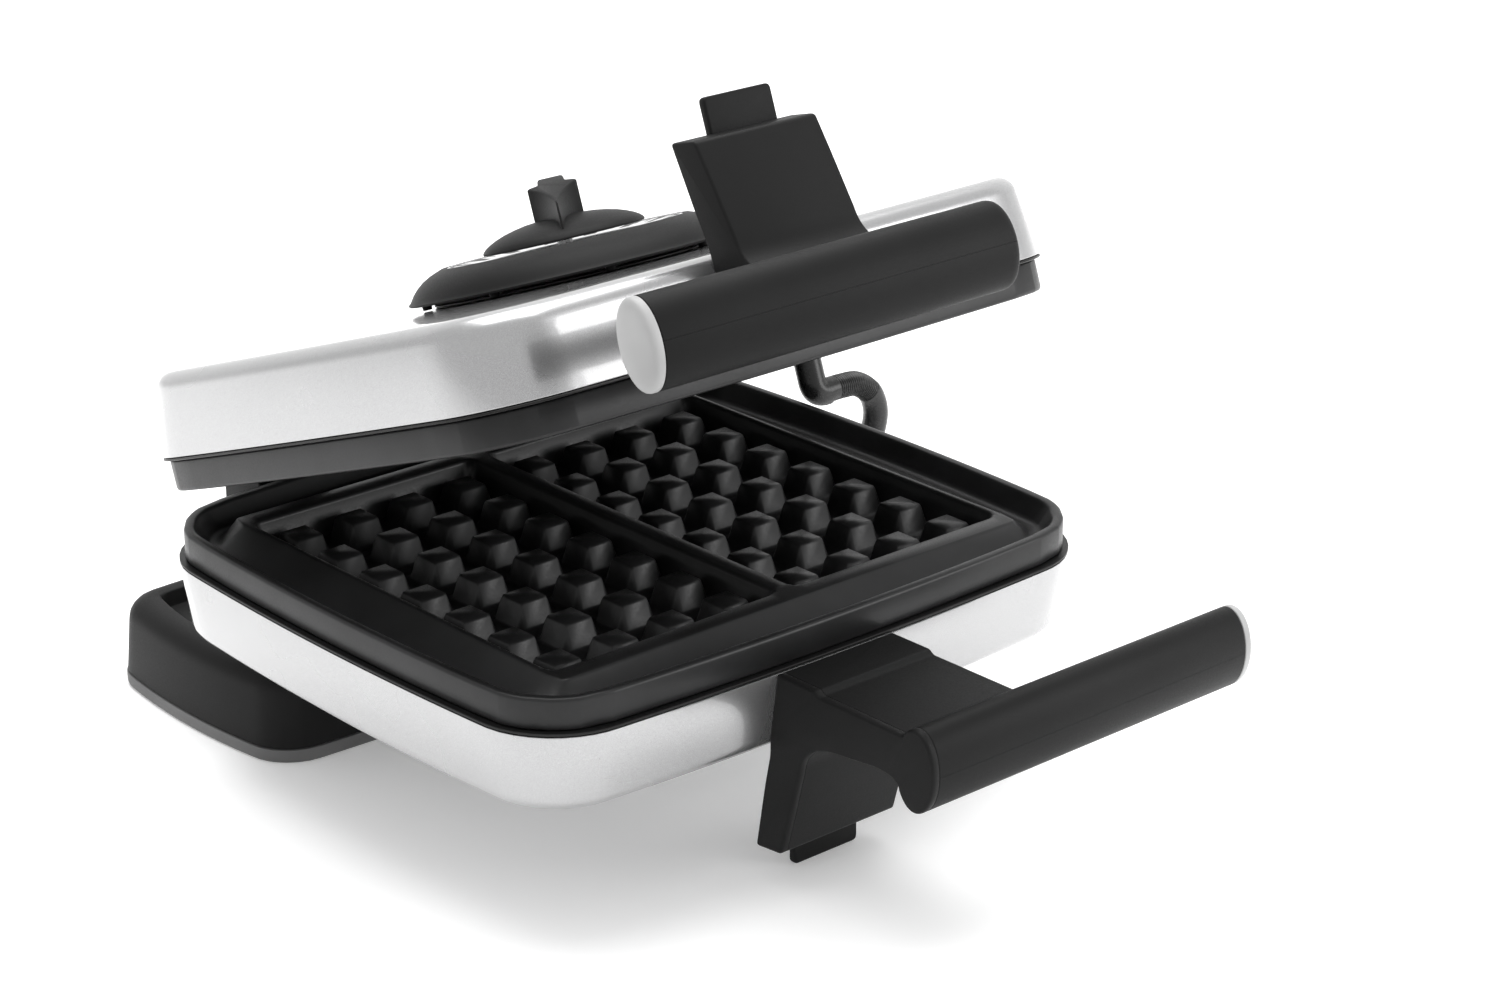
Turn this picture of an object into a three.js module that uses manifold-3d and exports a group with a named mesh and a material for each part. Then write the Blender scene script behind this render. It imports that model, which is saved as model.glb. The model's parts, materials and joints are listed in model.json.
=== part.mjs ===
// Waffle maker with two non-stick plates, a book hinge, legs on both halves and a dial on the lid.
// Millimetres, +Z up. The origin is the middle of the rear base's underside, on the table.
// The handles point to -Y, and +X is to the right of someone who stands in front of them.
// The lid is drawn 20 degrees open, and its hinge axis runs along X.
import * as THREE from 'three';
import { mergeVertices } from 'three/addons/utils/BufferGeometryUtils.js';
import Module from 'manifold-3d';

// ---- driving dimensions -------------------------------------------------------------------------
const LID_OPEN = 20; // degrees between the two plates
const PARTING_Z = 99.2; // height of the plane where the closed plates meet
const BASE_BEHIND = 135; // rear base's middle, behind the plates' middle
const HINGE_BEHIND = 144; // hinge axis, behind the plates' middle
const CLEAR = 0.3; // gap between pieces that rest on each other

const RIM = { x: 140, y: 123.7, bowX: 5.2, bowY: 5.2, corner: 27.7 }; // outer edge of a plate
const RIM_DEPTH = 12.2; // height of the brushed wall
const PLATE_DEPTH = 20; // face of the rim to the underside
const GUTTER_DEPTH = 8.6;
const LIP = { x: 112, y: 100, corner: 8, depth: 1.2 }; // raised border around the cavities
const CAVITY = { x: 106, y: 184, middle: 57, depth: 14.2, draft: 2 };
const STUD = { columns: 4, rows: 7, base: 18, top: 12.5, height: 10 };

const HOUSING_TOP = 13.8; // depth of the housing's lip below the parting plane
const HOUSING_DEPTH = 45.4;
const HOUSING_OUT = 2.3; // housing's lip outside the plate's edge
const WALL = 1.2;

const BRACKET = { left: -34.5, right: 22.5 };
const LEG_DEPTH = 86.2; // the leg's shoulder, from which the narrow tab reaches the table
const ARM_END = -193;
const TAB = { left: -17.5, right: 14.1, front: -116.8, back: -113.4 };
const GRIP = { y: -195.4, depth: 27.3, thick: 19, tall: 31.5, wall: 3 };
const CAP_LENGTH = 4.8;
// Each grip runs from its start to its pale cap. The lower one starts flush with its bracket.
const LOWER_GRIP = { start: -31, hollow: -40, tang: -33, capEnd: 127.2, flange: true, rounding: [[1, 0]] };
const LID_GRIP = {
  start: 33, hollow: 29.7, tang: 29.4, capEnd: -127.2, flange: false,
  rounding: [[0.76, 0], [0.92, 1], [1, 4]],
};

const DOME = { y: 5, flange: 63.5, rim: 48, low: 47.6, high: 59.2, floor: 57.4, feet: 8 };
const HEAT_DISC = { radius: 54, thick: 0.7 };
const KNOB = { radius: 31.6, low: 61.2, high: 69.8, finTop: 81.5, turn: -36 };
const SHAFT_RADIUS = 3;
const SHAFT_HOLE = 4;

const BASE = { x: 118, y: 63.5, bowX: 6, bowY: 3, corner: 16, high: 36.5, trim: 5.8 };
const RECESS_Z = 30;
const CEILING_Z = 26.5;
const POST = { middle: 70, width: 20, front: -13, neck: -6, back: 21, screwY: 6 };
const ARM = { middle: 52, width: 14, knuckle: 11 };
const PIN_RADIUS = 4;
const SCREW = { radius: 2.5, head: 4.5, headHigh: 3, depth: 26 };
const BRACKET_SCREWS = [-22, 10];
const CORD_GLAND = { x: 60, z: 17, bore: 3.8 };
const BOOT = { x: 149.6, y: 60.1, radius: 6, top: 26, bottom: -31.2, end: 156 };

const CONDUIT_RADIUS = 5.5;
// Middle line of the conduit in the assembly's own axes, from the base's right end to the boot.
const CONDUIT_ROUTE = [
  [125, -26, 18], [135, -26, 18], [150, -33, 22.5], [164, -47, 34], [175.5, -64, 49], [183, -76, 65],
  [185.5, -80, 79], [182.5, -80.5, 90.5], [174, -80.5, 97.4], [165, -80.5, 98.7], [156.3, -80.5, 98.7],
];

// ---- materials ----------------------------------------------------------------------------------
const finish = (color, roughness, metalness) => ({ color, roughness, metalness });
const SILVER = finish(0xd4d4d6, 0.35, 0.85);
const COATING = finish(0x161616, 0.4, 0.3);
const PLASTIC = finish(0x2b2b2b, 0.55, 0);
const PALE_PLASTIC = finish(0xb5b5b5, 0.5, 0);
const GREY_PLASTIC = finish(0x7d7d7d, 0.5, 0);
const DARK_GREY = finish(0x4d4d4d, 0.5, 0.2);
const STEEL = finish(0x9a9a9a, 0.3, 1);
const ALUMINIUM = finish(0xbfbfc2, 0.4, 1);
const CERAMIC = finish(0xe6e2d8, 0.6, 0);

// ---- solids -------------------------------------------------------------------------------------
const wasm = await Module();
wasm.setup();

function toSolid(geometry) {
  const bare = geometry.clone();
  bare.deleteAttribute('normal');
  bare.deleteAttribute('uv');
  const merged = mergeVertices(bare, 1e-4);
  return new wasm.Manifold(new wasm.Mesh({
    numProp: 3,
    vertProperties: new Float32Array(merged.attributes.position.array),
    triVerts: new Uint32Array(merged.index.array),
  }));
}

function toGeometry(solid) {
  const mesh = solid.getMesh();
  const geometry = new THREE.BufferGeometry();
  geometry.setAttribute('position', new THREE.BufferAttribute(new Float32Array(mesh.vertProperties), 3));
  geometry.setIndex(new THREE.BufferAttribute(new Uint32Array(mesh.triVerts), 1));
  return geometry;
}

const join = (...geometries) => toGeometry(geometries.map(toSolid).reduce((a, b) => a.add(b)));
const cut = (geometry, ...tools) =>
  toGeometry(tools.map(toSolid).reduce((a, b) => a.subtract(b), toSolid(geometry)));

function turnInsideOut(geometry) {
  const index = geometry.index.array;
  for (let i = 0; i < index.length; i += 3) [index[i], index[i + 1]] = [index[i + 1], index[i]];
  return geometry;
}

function facingOut(geometry) {
  const p = geometry.attributes.position;
  const [a, b, c] = [new THREE.Vector3(), new THREE.Vector3(), new THREE.Vector3()];
  let volume = 0;
  for (let i = 0; i < geometry.index.count; i += 3) {
    a.fromBufferAttribute(p, geometry.index.getX(i));
    b.fromBufferAttribute(p, geometry.index.getX(i + 1));
    c.fromBufferAttribute(p, geometry.index.getX(i + 2));
    volume += a.dot(b.cross(c));
  }
  return volume < 0 ? turnInsideOut(geometry) : geometry;
}

// ---- outlines and basic shapes ------------------------------------------------------------------
const CORNER_STEPS = 5;
const SIDE_STEPS = 4;

// A rounded rectangle whose sides bow outwards. x and y are the half sizes at the middle of the sides.
function outline({ x, y, corner, bowX = 0, bowY = 0 }, offset = 0) {
  const [halfX, halfY, radius] = [x - bowX + offset, y - bowY + offset, Math.max(corner + offset, 1)];
  const points = [];
  [[1, 1], [-1, 1], [-1, -1], [1, -1]].forEach(([signX, signY], quarter) => {
    for (let i = 0; i <= CORNER_STEPS; i++) {
      const angle = (quarter + i / CORNER_STEPS) * Math.PI / 2;
      points.push(new THREE.Vector2(
        signX * (halfX - radius) + radius * Math.cos(angle),
        signY * (halfY - radius) + radius * Math.sin(angle),
      ));
    }
  });
  const perCorner = CORNER_STEPS + 1;
  const full = points.flatMap((point, i) => {
    if (i % perCorner !== CORNER_STEPS) return [point];
    const next = points[(i + 1) % points.length];
    return [...Array(SIDE_STEPS).keys()].map((step) => point.clone().lerp(next, step / SIDE_STEPS));
  });
  return full.map((p) => new THREE.Vector2(
    p.x * (1 + bowX / halfX * (1 - (p.y / halfY) ** 2)),
    p.y * (1 + bowY / halfY * (1 - (p.x / halfX) ** 2)),
  ));
}

// Joins rings of equal point count, each [points, z]. An open loft is capped, a closed one is a band.
function loft(rings, closed = false) {
  const count = rings[0][0].length;
  const position = rings.flatMap(([points, z]) => points.flatMap((p) => [p.x, p.y, z]));
  const index = [];
  for (let ring = 0; ring < rings.length - (closed ? 0 : 1); ring++) {
    const [low, high] = [ring * count, ((ring + 1) % rings.length) * count];
    for (let i = 0; i < count; i++) {
      const j = (i + 1) % count;
      index.push(low + i, low + j, high + j, low + i, high + j, high + i);
    }
  }
  if (!closed) {
    const last = (rings.length - 1) * count;
    for (const [a, b, c] of THREE.ShapeUtils.triangulateShape(rings[0][0], [])) index.push(a, c, b);
    for (const [a, b, c] of THREE.ShapeUtils.triangulateShape(rings.at(-1)[0], [])) {
      index.push(last + a, last + b, last + c);
    }
  }
  const geometry = new THREE.BufferGeometry();
  geometry.setAttribute('position', new THREE.Float32BufferAttribute(position, 3));
  geometry.setIndex(index);
  return facingOut(geometry);
}

function box(x0, x1, y0, y1, z0, z1) {
  const block = new THREE.BoxGeometry(x1 - x0, y1 - y0, z1 - z0);
  return block.translate((x0 + x1) / 2, (y0 + y1) / 2, (z0 + z1) / 2);
}

// Round rods along each axis, from one place on it to the other.
const rodY = (radius, y0, y1, sides = 16) =>
  new THREE.CylinderGeometry(radius, radius, y1 - y0, sides).translate(0, (y0 + y1) / 2, 0);
const rodZ = (radius, z0, z1, sides = 16) => rodY(radius, z0, z1, sides).rotateX(Math.PI / 2);
const rodX = (radius, x0, x1, sides = 16) => rodZ(radius, x0, x1, sides).rotateY(Math.PI / 2);

const ALONG_X = new THREE.Matrix4().makeBasis(
  new THREE.Vector3(0, 1, 0), new THREE.Vector3(0, 0, 1), new THREE.Vector3(1, 0, 0),
);

// Turns a profile of [radius, z] points about Z.
function turned(profile, segments = 28) {
  const points = profile.map(([radius, z]) => new THREE.Vector2(radius, z));
  return new THREE.LatheGeometry(points, segments).rotateX(Math.PI / 2);
}

// Extrudes a side view, drawn as a shape in (y, z), from x0 to x1 with softened long edges.
function sideProfile(shape, x0, x1, edge = 1.2) {
  const settings = { depth: x1 - x0 - 2 * edge, bevelSize: edge, bevelThickness: edge, bevelOffset: -edge };
  const geometry = new THREE.ExtrudeGeometry(shape, { ...settings, bevelSegments: 1, curveSegments: 5 });
  return geometry.applyMatrix4(ALONG_X).translate(x0 + edge, 0, 0);
}

const polygon = (points) => new THREE.Shape(points.map(([x, y]) => new THREE.Vector2(x, y)));

// A straight path through points with its corners rounded.
function roundedPath(points, radius) {
  const path = new THREE.CurvePath();
  let from = points[0];
  for (let i = 1; i < points.length - 1; i++) {
    const before = points[i].clone().sub(points[i - 1]).setLength(radius);
    const after = points[i + 1].clone().sub(points[i]).setLength(radius);
    const [enter, leave] = [points[i].clone().sub(before), points[i].clone().add(after)];
    path.add(new THREE.LineCurve3(from, enter));
    path.add(new THREE.QuadraticBezierCurve3(enter, points[i], leave));
    from = leave;
  }
  path.add(new THREE.LineCurve3(from, points.at(-1)));
  return path;
}

function tubeAlong(path, radius, steps, sides) {
  const section = new THREE.Shape();
  for (let i = 0; i < sides; i++) {
    const angle = 2 * Math.PI * i / sides;
    section[i ? 'lineTo' : 'moveTo'](radius * Math.cos(angle), radius * Math.sin(angle));
  }
  return new THREE.ExtrudeGeometry(section, { steps, extrudePath: path });
}

// ---- one half: the same pieces serve the lid (side +1) and, mirrored, the lower half (side -1) ------
// Every piece is drawn as for the lid: z is the distance from the parting plane.
const rimOutline = (offset) => outline(RIM, offset);

function plate() {
  const body = loft([
    [outline(LIP), LIP.depth],
    [rimOutline(-12), GUTTER_DEPTH],
    [rimOutline(-7.5), GUTTER_DEPTH - 1.6],
    [rimOutline(-3.4), CLEAR / 2 + 0.05],
    [rimOutline(0), CLEAR / 2 + 0.05],
    [rimOutline(0), RIM_DEPTH],
    [rimOutline(-7), RIM_DEPTH],
    [rimOutline(-7), PLATE_DEPTH],
  ]);
  const cavities = [-1, 1].map((side) => {
    const [halfX, halfY] = [CAVITY.x / 2, CAVITY.y / 2];
    return loft([
      [outline({ x: halfX, y: halfY, corner: 5 }), LIP.depth - 1],
      [outline({ x: halfX - CAVITY.draft, y: halfY - CAVITY.draft, corner: 5 }), CAVITY.depth],
    ]).translate(side * CAVITY.middle, 0, 0);
  });
  return join(cut(body, ...cavities), ...studs());
}

function studs() {
  const solids = [];
  const [stepX, stepY] = [(CAVITY.x - 1) / STUD.columns, (CAVITY.y - 1) / STUD.rows];
  for (const side of [-1, 1]) {
    for (let column = 0; column < STUD.columns; column++) {
      for (let row = 0; row < STUD.rows; row++) {
        const stud = new THREE.CylinderGeometry(
          STUD.base * Math.SQRT1_2, STUD.top * Math.SQRT1_2, STUD.height + 0.5, 4,
        ).rotateY(Math.PI / 4).rotateX(Math.PI / 2);
        stud.translate(
          side * CAVITY.middle + (column - (STUD.columns - 1) / 2) * stepX,
          (row - (STUD.rows - 1) / 2) * stepY,
          CAVITY.depth + 0.5 - (STUD.height + 0.5) / 2,
        );
        solids.push(stud);
      }
    }
  }
  return solids;
}

// Rings of the housing's outside, from its lip to its flat face.
const housingRings = (grow) => [
  [rimOutline(HOUSING_OUT + grow), HOUSING_TOP - grow],
  [rimOutline(0.2 + grow), HOUSING_DEPTH - 7.2],
  [rimOutline(-1 + grow), HOUSING_DEPTH - 3.2 + grow * 0.5],
  [rimOutline(-3.6 + grow), HOUSING_DEPTH - 0.9 + grow],
  [rimOutline(-7.6 + grow), HOUSING_DEPTH + grow],
];

// The space that the housing and all inside it take, for pieces fitted against its outside.
const housingSpace = () => loft([...housingRings(CLEAR), [rimOutline(-7.6), HOUSING_DEPTH + 1]]);

function housing(screwPlaces, shaftHole) {
  const inside = [
    [rimOutline(-8.6), HOUSING_DEPTH - WALL],
    [rimOutline(0.2 - WALL), HOUSING_DEPTH - 8.5],
    [rimOutline(HOUSING_OUT - WALL), HOUSING_TOP],
  ];
  const shell = loft([...inside, ...housingRings(0)]);
  const holes = screwPlaces.map(([x, side]) => screwBore(x, side, 110, 130));
  if (shaftHole) holes.push(rodZ(SHAFT_HOLE, 40, 50).translate(0, DOME.y, 0));
  return cut(shell, ...holes);
}

function trimRing() {
  const [inner, outer] = [rimOutline(-3.4), rimOutline(HOUSING_OUT)];
  const [near, far] = [RIM_DEPTH + CLEAR, HOUSING_TOP - CLEAR];
  return loft([[inner, near], [outer, near], [outer, far], [inner, far]], true);
}

function heatingElement() {
  const level = PLATE_DEPTH + CLEAR + 3.2;
  const corners = [
    [-14, 98], [-14, 76], [-92, 76], [-92, -76], [-34, -76], [-34, 34], [34, 34], [34, -76], [92, -76],
    [92, 76], [14, 76], [14, 98],
  ];
  const points = corners.map(([x, y]) => new THREE.Vector3(x, y, level));
  return tubeAlong(roundedPath(points, 14), 3.2, 44, 6);
}

function reflector() {
  const pan = { x: 122, y: 106, corner: 22 };
  const depth = PLATE_DEPTH + 10;
  return loft([
    [outline(pan, -4), depth], [outline(pan, -1), depth - 7.5], [outline(pan), depth - 7.5],
    [outline(pan, -3), depth + 1],
  ]);
}

// Screws pass through the housing's front (side -1) or rear (side +1) wall. from and to are distances
// from the plates' middle.
function screwBore(x, side, from, to) {
  const bore = rodY(SCREW.radius + CLEAR, from, to, 12);
  return bore.rotateZ(side > 0 ? 0 : Math.PI).translate(x, 0, SCREW.depth);
}

// The head rests on the wall's inner face, which lies nearer the middle away from x = 0.
function wallScrew(x, side, length = 18) {
  const face = RIM.y + 0.3 - WALL - RIM.bowY * (x / (RIM.x - RIM.bowX)) ** 2;
  const solid = join(
    rodY(SCREW.head, face - CLEAR - SCREW.headHigh, face - CLEAR, 12),
    rodY(SCREW.radius, face - 1, face + length, 12),
  );
  return solid.rotateZ(side > 0 ? 0 : Math.PI).translate(x, 0, SCREW.depth);
}

// The leg stands off the housing's front and the arm carries the grip. The drawing is in (y, z).
function bracketBody() {
  const shape = new THREE.Shape();
  shape.moveTo(-127.6, LEG_DEPTH - 1.2);
  shape.lineTo(TAB.back - 0.6, LEG_DEPTH);
  shape.lineTo(-118.6, 60);
  shape.lineTo(-121.4, 47);
  shape.lineTo(-121.4, 14);
  shape.lineTo(-145.8, 14);
  shape.lineTo(-147, 15.6);
  shape.lineTo(ARM_END, 15.6);
  shape.lineTo(ARM_END, 32.2);
  shape.lineTo(-157, 34.6);
  shape.quadraticCurveTo(-138.8, 36, -137, 50);
  shape.lineTo(-131.8, 70);
  return sideProfile(shape, BRACKET.left, BRACKET.right);
}

// Leg, arm, tab and the tang that fills the grip, with the screw bores in the face on the housing.
function bracket(grip) {
  const tab = box(TAB.left, TAB.right, TAB.front, TAB.back, LEG_DEPTH - 4, PARTING_Z);
  const pieces = [bracketBody(), tab, ovalBar(grip.tang, grip.capEnd, GRIP.wall + CLEAR)];
  if (grip.flange) pieces.push(ovalBar(BRACKET.left, grip.start - CLEAR, 0, [[0.92, 0], [1, 1.2]]));
  return cut(join(...pieces), housingSpace(), ...BRACKET_SCREWS.map((x) => screwBore(x, -1, 115, 142)));
}

// An oval bar along X about the grip's middle line. Each rounding is [scale of the section, distance
// back from the end].
function ovalBar(x0, x1, inset, startRounding = [[1, 0]], endRounding = [[1, 0]]) {
  const count = 20;
  const inwards = Math.sign(x1 - x0);
  const ring = (scale, x) => {
    const points = [...Array(count).keys()].map((i) => new THREE.Vector2(
      (GRIP.thick / 2 - inset) * scale * Math.cos(2 * Math.PI * i / count),
      (GRIP.tall / 2 - inset) * scale * Math.sin(2 * Math.PI * i / count),
    ));
    return [points, x];
  };
  const bar = loft([
    ...startRounding.map(([scale, back]) => ring(scale, x0 + inwards * back)),
    ...endRounding.map(([scale, back]) => ring(scale, x1 - inwards * back)),
  ]);
  return bar.applyMatrix4(ALONG_X).translate(0, GRIP.y, GRIP.depth);
}

// One half of the grip's sleeve. The seam runs along the middle of its front and back.
function gripShell(grip, far) {
  const outside = ovalBar(grip.start, grip.capEnd, 0, grip.rounding);
  const inside = ovalBar(grip.hollow, grip.capEnd + Math.sign(grip.capEnd), GRIP.wall);
  const arm = box(
    BRACKET.left - CLEAR, BRACKET.right + CLEAR, GRIP.y + 2, GRIP.y + 20, 15.6 - CLEAR, 33,
  );
  const [near, beyond] = far ? [GRIP.depth + CLEAR / 2, -30] : [GRIP.depth - CLEAR / 2, 30];
  const levels = [near, near + beyond].sort((a, b) => a - b);
  return cut(outside, inside, arm, box(-200, 200, GRIP.y - 30, GRIP.y + 30, ...levels));
}

function gripCap(grip) {
  const outwards = Math.sign(grip.capEnd);
  const dome = [[1, CAP_LENGTH - 1.2], [0.96, 2.2], [0.84, 0.9], [0.55, 0]];
  return ovalBar(grip.capEnd + outwards * CLEAR, grip.capEnd + outwards * CAP_LENGTH, 0, [[1, 0]], dome);
}

// ---- naming and placing -------------------------------------------------------------------------
const waffleMaker = new THREE.Group();
const closedHalf = new THREE.Vector3(0, -BASE_BEHIND, PARTING_Z);

function add(parent, name, geometry, look) {
  const mesh = new THREE.Mesh(geometry, new THREE.MeshStandardMaterial(look));
  mesh.name = name;
  parent.add(mesh);
}

function mirrored(geometry) {
  const indexed = geometry.index ? geometry : mergeVertices(geometry);
  indexed.deleteAttribute('normal');
  return turnInsideOut(indexed.scale(1, 1, -1));
}

// Adds the pieces that both halves have. hinged is where the rear screws go, as x from the middle.
function addHalf(parent, prefix, side, grip, hinged) {
  const piece = (name, geometry, look) => {
    add(parent, `${prefix}_${name}`, side < 0 ? mirrored(geometry) : geometry, look);
  };
  const screws = [
    ...BRACKET_SCREWS.map((x) => ['bracket', x, -1]),
    ...[-hinged, hinged].map((x) => ['rear', x, 1]),
  ];
  piece('plate', plate(), COATING);
  piece('trim_ring', trimRing(), PLASTIC);
  piece('housing', housing(screws.map(([, x, wall]) => [x, wall]), side > 0), SILVER);
  piece('heating_element', heatingElement(), STEEL);
  piece('reflector', reflector(), ALUMINIUM);
  piece('leg_bracket', bracket(grip), PLASTIC);
  piece('grip_inner_shell', gripShell(grip, false), PLASTIC);
  piece('grip_outer_shell', gripShell(grip, true), PLASTIC);
  piece('grip_cap', gripCap(grip), PALE_PLASTIC);
  for (const [place, x, wall] of screws) {
    piece(`${place}_screw_${x < 0 ? 'left' : 'right'}`, wallScrew(x, wall), STEEL);
  }
}

// ---- rear base ----------------------------------------------------------------------------------
const baseOutline = (offset) => outline(BASE, offset);

function baseShell() {
  const body = loft([
    [baseOutline(-5), CEILING_Z], [baseOutline(-3), BASE.trim + CLEAR], [baseOutline(0), BASE.trim + CLEAR],
    [baseOutline(-1.5), BASE.high - 11], [baseOutline(-2.9), BASE.high - 5.5],
    [baseOutline(-5.8), BASE.high - 1.6], [baseOutline(-10), BASE.high], [baseOutline(-14), BASE.high],
    [baseOutline(-15.5), RECESS_Z],
  ]);
  const screwHole = () => rodZ(SCREW.radius + CLEAR, CEILING_Z - 5, RECESS_Z + 5, 12);
  const postHoles = [-1, 1].map((side) => screwHole().translate(side * POST.middle, POST.screwY, 0));
  const cordHole = rodY(7, 40, 70, 16).translate(CORD_GLAND.x, 0, CORD_GLAND.z);
  const [, conduitY, conduitZ] = CONDUIT_ROUTE[0];
  const conduitHole = rodX(5.8, 95, 125, 16).translate(0, conduitY, conduitZ);
  return cut(body, ...postHoles, cordHole, conduitHole);
}

function baseTrim() {
  const [inner, outer] = [baseOutline(-3.4), baseOutline(0.5)];
  const foot = baseOutline(-0.6);
  return loft([[inner, 0], [foot, 0], [outer, 1.2], [outer, BASE.trim], [inner, BASE.trim]], true);
}

function hingePost(side) {
  const hingeY = HINGE_BEHIND - BASE_BEHIND;
  const foot = RECESS_Z + CLEAR;
  const shape = new THREE.Shape();
  shape.moveTo(POST.front, foot);
  shape.lineTo(POST.front, PARTING_Z - 16.5);
  shape.lineTo(POST.neck, PARTING_Z - 11);
  shape.lineTo(hingeY - 12, PARTING_Z);
  shape.absarc(hingeY, PARTING_Z, 12, Math.PI, 0, true);
  shape.lineTo(POST.back, foot);
  const [x0, x1] = [side * POST.middle - POST.width / 2, side * POST.middle + POST.width / 2];
  const lowerHalfSpace = mirrored(housingSpace()).translate(...closedHalf);
  const rearBore = mirrored(screwBore(side * POST.middle, 1, 110, 145)).translate(...closedHalf);
  const footBore = rodZ(SCREW.radius + CLEAR, foot - 1, 53, 12);
  footBore.translate(side * POST.middle, POST.screwY, 0);
  const pinBore = rodX(PIN_RADIUS + CLEAR, x0 - 1, x1 + 1).translate(0, hingeY, PARTING_Z);
  return cut(sideProfile(shape, x0, x1), lowerHalfSpace, rearBore, footBore, pinBore);
}

function postScrew(side) {
  const head = rodZ(SCREW.head, CEILING_Z - CLEAR - SCREW.headHigh, CEILING_Z - CLEAR, 12);
  const shank = rodZ(SCREW.radius, CEILING_Z - 1, 51, 12);
  return join(head, shank).translate(side * POST.middle, POST.screwY, 0);
}

function hingePin(side) {
  const inner = ARM.middle - ARM.width / 2 - CLEAR;
  const outer = POST.middle + POST.width / 2 - 1;
  const pin = join(rodX(PIN_RADIUS, inner - 1, outer), rodX(PIN_RADIUS + 3, inner - 2.5, inner));
  const placed = side > 0 ? pin : pin.rotateZ(Math.PI);
  return placed.translate(0, HINGE_BEHIND - BASE_BEHIND, PARTING_Z);
}

function cordGland() {
  const bush = join(rodY(6.7, 54, 63.5), rodY(8.5, 63, 65.4));
  return cut(bush, rodY(CORD_GLAND.bore, 50, 70, 12)).translate(CORD_GLAND.x, 0, CORD_GLAND.z);
}

function conduitGland() {
  const [x, y, z] = CONDUIT_ROUTE[0];
  const [stem, flange, collar] = [rodX(5.5, 106, 117.5), rodX(8, 117, 119.4), rodX(7.2, 119, x - 2 * CLEAR)];
  return join(stem, flange, collar).translate(0, y, z);
}

function conduit() {
  const path = new THREE.CatmullRomCurve3(CONDUIT_ROUTE.map((point) => new THREE.Vector3(...point)));
  return tubeAlong(path, CONDUIT_RADIUS, 26, 10);
}

// ---- lid ----------------------------------------------------------------------------------------
function lidHingeArm(side) {
  const [x0, x1] = [side * ARM.middle - ARM.width / 2, side * ARM.middle + ARM.width / 2];
  const sideView = [[118, 17.5], [127, 13], [134, 3], [140, -5], [154, 3], [132, 38], [118, 38]];
  const web = sideProfile(polygon(sideView), x0, x1);
  const knuckle = rodX(ARM.knuckle, x0, x1, 20).translate(0, HINGE_BEHIND, 0);
  const pinBore = rodX(PIN_RADIUS + CLEAR, x0 - 1, x1 + 1).translate(0, HINGE_BEHIND, 0);
  return cut(join(web, knuckle), housingSpace(), pinBore, screwBore(side * ARM.middle, 1, 110, 145));
}

// A tapered rubber boot from the lid's right wall, down beside the plates and out to the conduit.
function conduitBoot() {
  const { x, y, radius, top, bottom, end } = BOOT;
  const ball = () => mergeVertices(new THREE.SphereGeometry(radius, 10, 6)).translate(x, y, bottom);
  const shoulder = new THREE.SphereGeometry(radius + 1, 10, 6).translate(x, y, top);
  const drop = new THREE.CylinderGeometry(radius + 1, radius, top - bottom, 12).rotateX(Math.PI / 2);
  drop.translate(x, y, (top + bottom) / 2);
  const root = rodX(radius + 1, 130, x, 12).translate(0, y, top);
  const spout = rodX(radius, x, end, 12).translate(0, y, bottom);
  return cut(join(root, shoulder, drop, ball(), spout), housingSpace());
}

// Pieces about the dial's axis are drawn with that axis as Z.
const onDial = (geometry) => geometry.translate(0, DOME.y, 0);
const washer = (inner, outer, low, high) =>
  turned([[inner, low], [outer, low], [outer, high], [inner, high], [inner, low]]);

function heatDisc() {
  const low = HOUSING_DEPTH + CLEAR;
  return washer(SHAFT_HOLE, HEAT_DISC.radius, low, low + HEAT_DISC.thick);
}

function dialDome() {
  const { flange, rim, low, high, floor, feet } = DOME;
  const shell = turned([
    [SHAFT_HOLE, floor - 2.4], [rim - 2, floor - 2.4], [rim + 5, floor - 4.6], [flange - 3.5, low],
    [flange, low], [flange, low + 1.2], [flange - 2, low + 3.4], [flange - 6, low + 7], [rim + 4, high - 2],
    [rim + 0.6, high - 0.4], [rim, high], [rim - 1.4, high], [rim - 1.6, floor], [SHAFT_HOLE, floor],
    [SHAFT_HOLE, floor - 2.4],
  ]);
  const legs = [...Array(feet).keys()].map((i) => {
    const angle = 2 * Math.PI * (i + 0.5) / feet;
    const leg = rodZ(2, HOUSING_DEPTH + CLEAR, low + 3, 6);
    return leg.translate((flange - 5.5) * Math.cos(angle), (flange - 5.5) * Math.sin(angle), 0);
  });
  return join(shell, ...legs);
}

const dialPlate = () => washer(SHAFT_HOLE, DOME.rim - 2, DOME.floor + CLEAR, DOME.floor + 1.3);
const thermostatBody = () => rodZ(17, PLATE_DEPTH + 11.6, HOUSING_DEPTH - WALL - CLEAR, 20);
const thermostatShaft = () => rodZ(SHAFT_RADIUS, HOUSING_DEPTH - WALL, KNOB.low + 5, 12);

// The pointer is arrow-shaped in plan with hollow sides. Its top falls towards the tip.
function knobFin() {
  const plan = (scale) => {
    const shape = new THREE.Shape();
    shape.moveTo(0, -20 * scale);
    shape.quadraticCurveTo(2.5, -6, 8.5 * scale ** 0.4, 3);
    shape.lineTo(4.5, 13 * scale);
    shape.lineTo(-4.5, 13 * scale);
    shape.lineTo(-8.5 * scale ** 0.4, 3);
    shape.quadraticCurveTo(-2.5, -6, 0, -20 * scale);
    return shape.getPoints(6).slice(0, -1);
  };
  const fin = loft([[plan(1.4), KNOB.low + 1], [plan(1), KNOB.finTop + 6]]);
  const above = box(-60, 60, -60, 60, 0, 40).rotateX(0.27).translate(0, 5, KNOB.finTop);
  return cut(fin, above);
}

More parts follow.
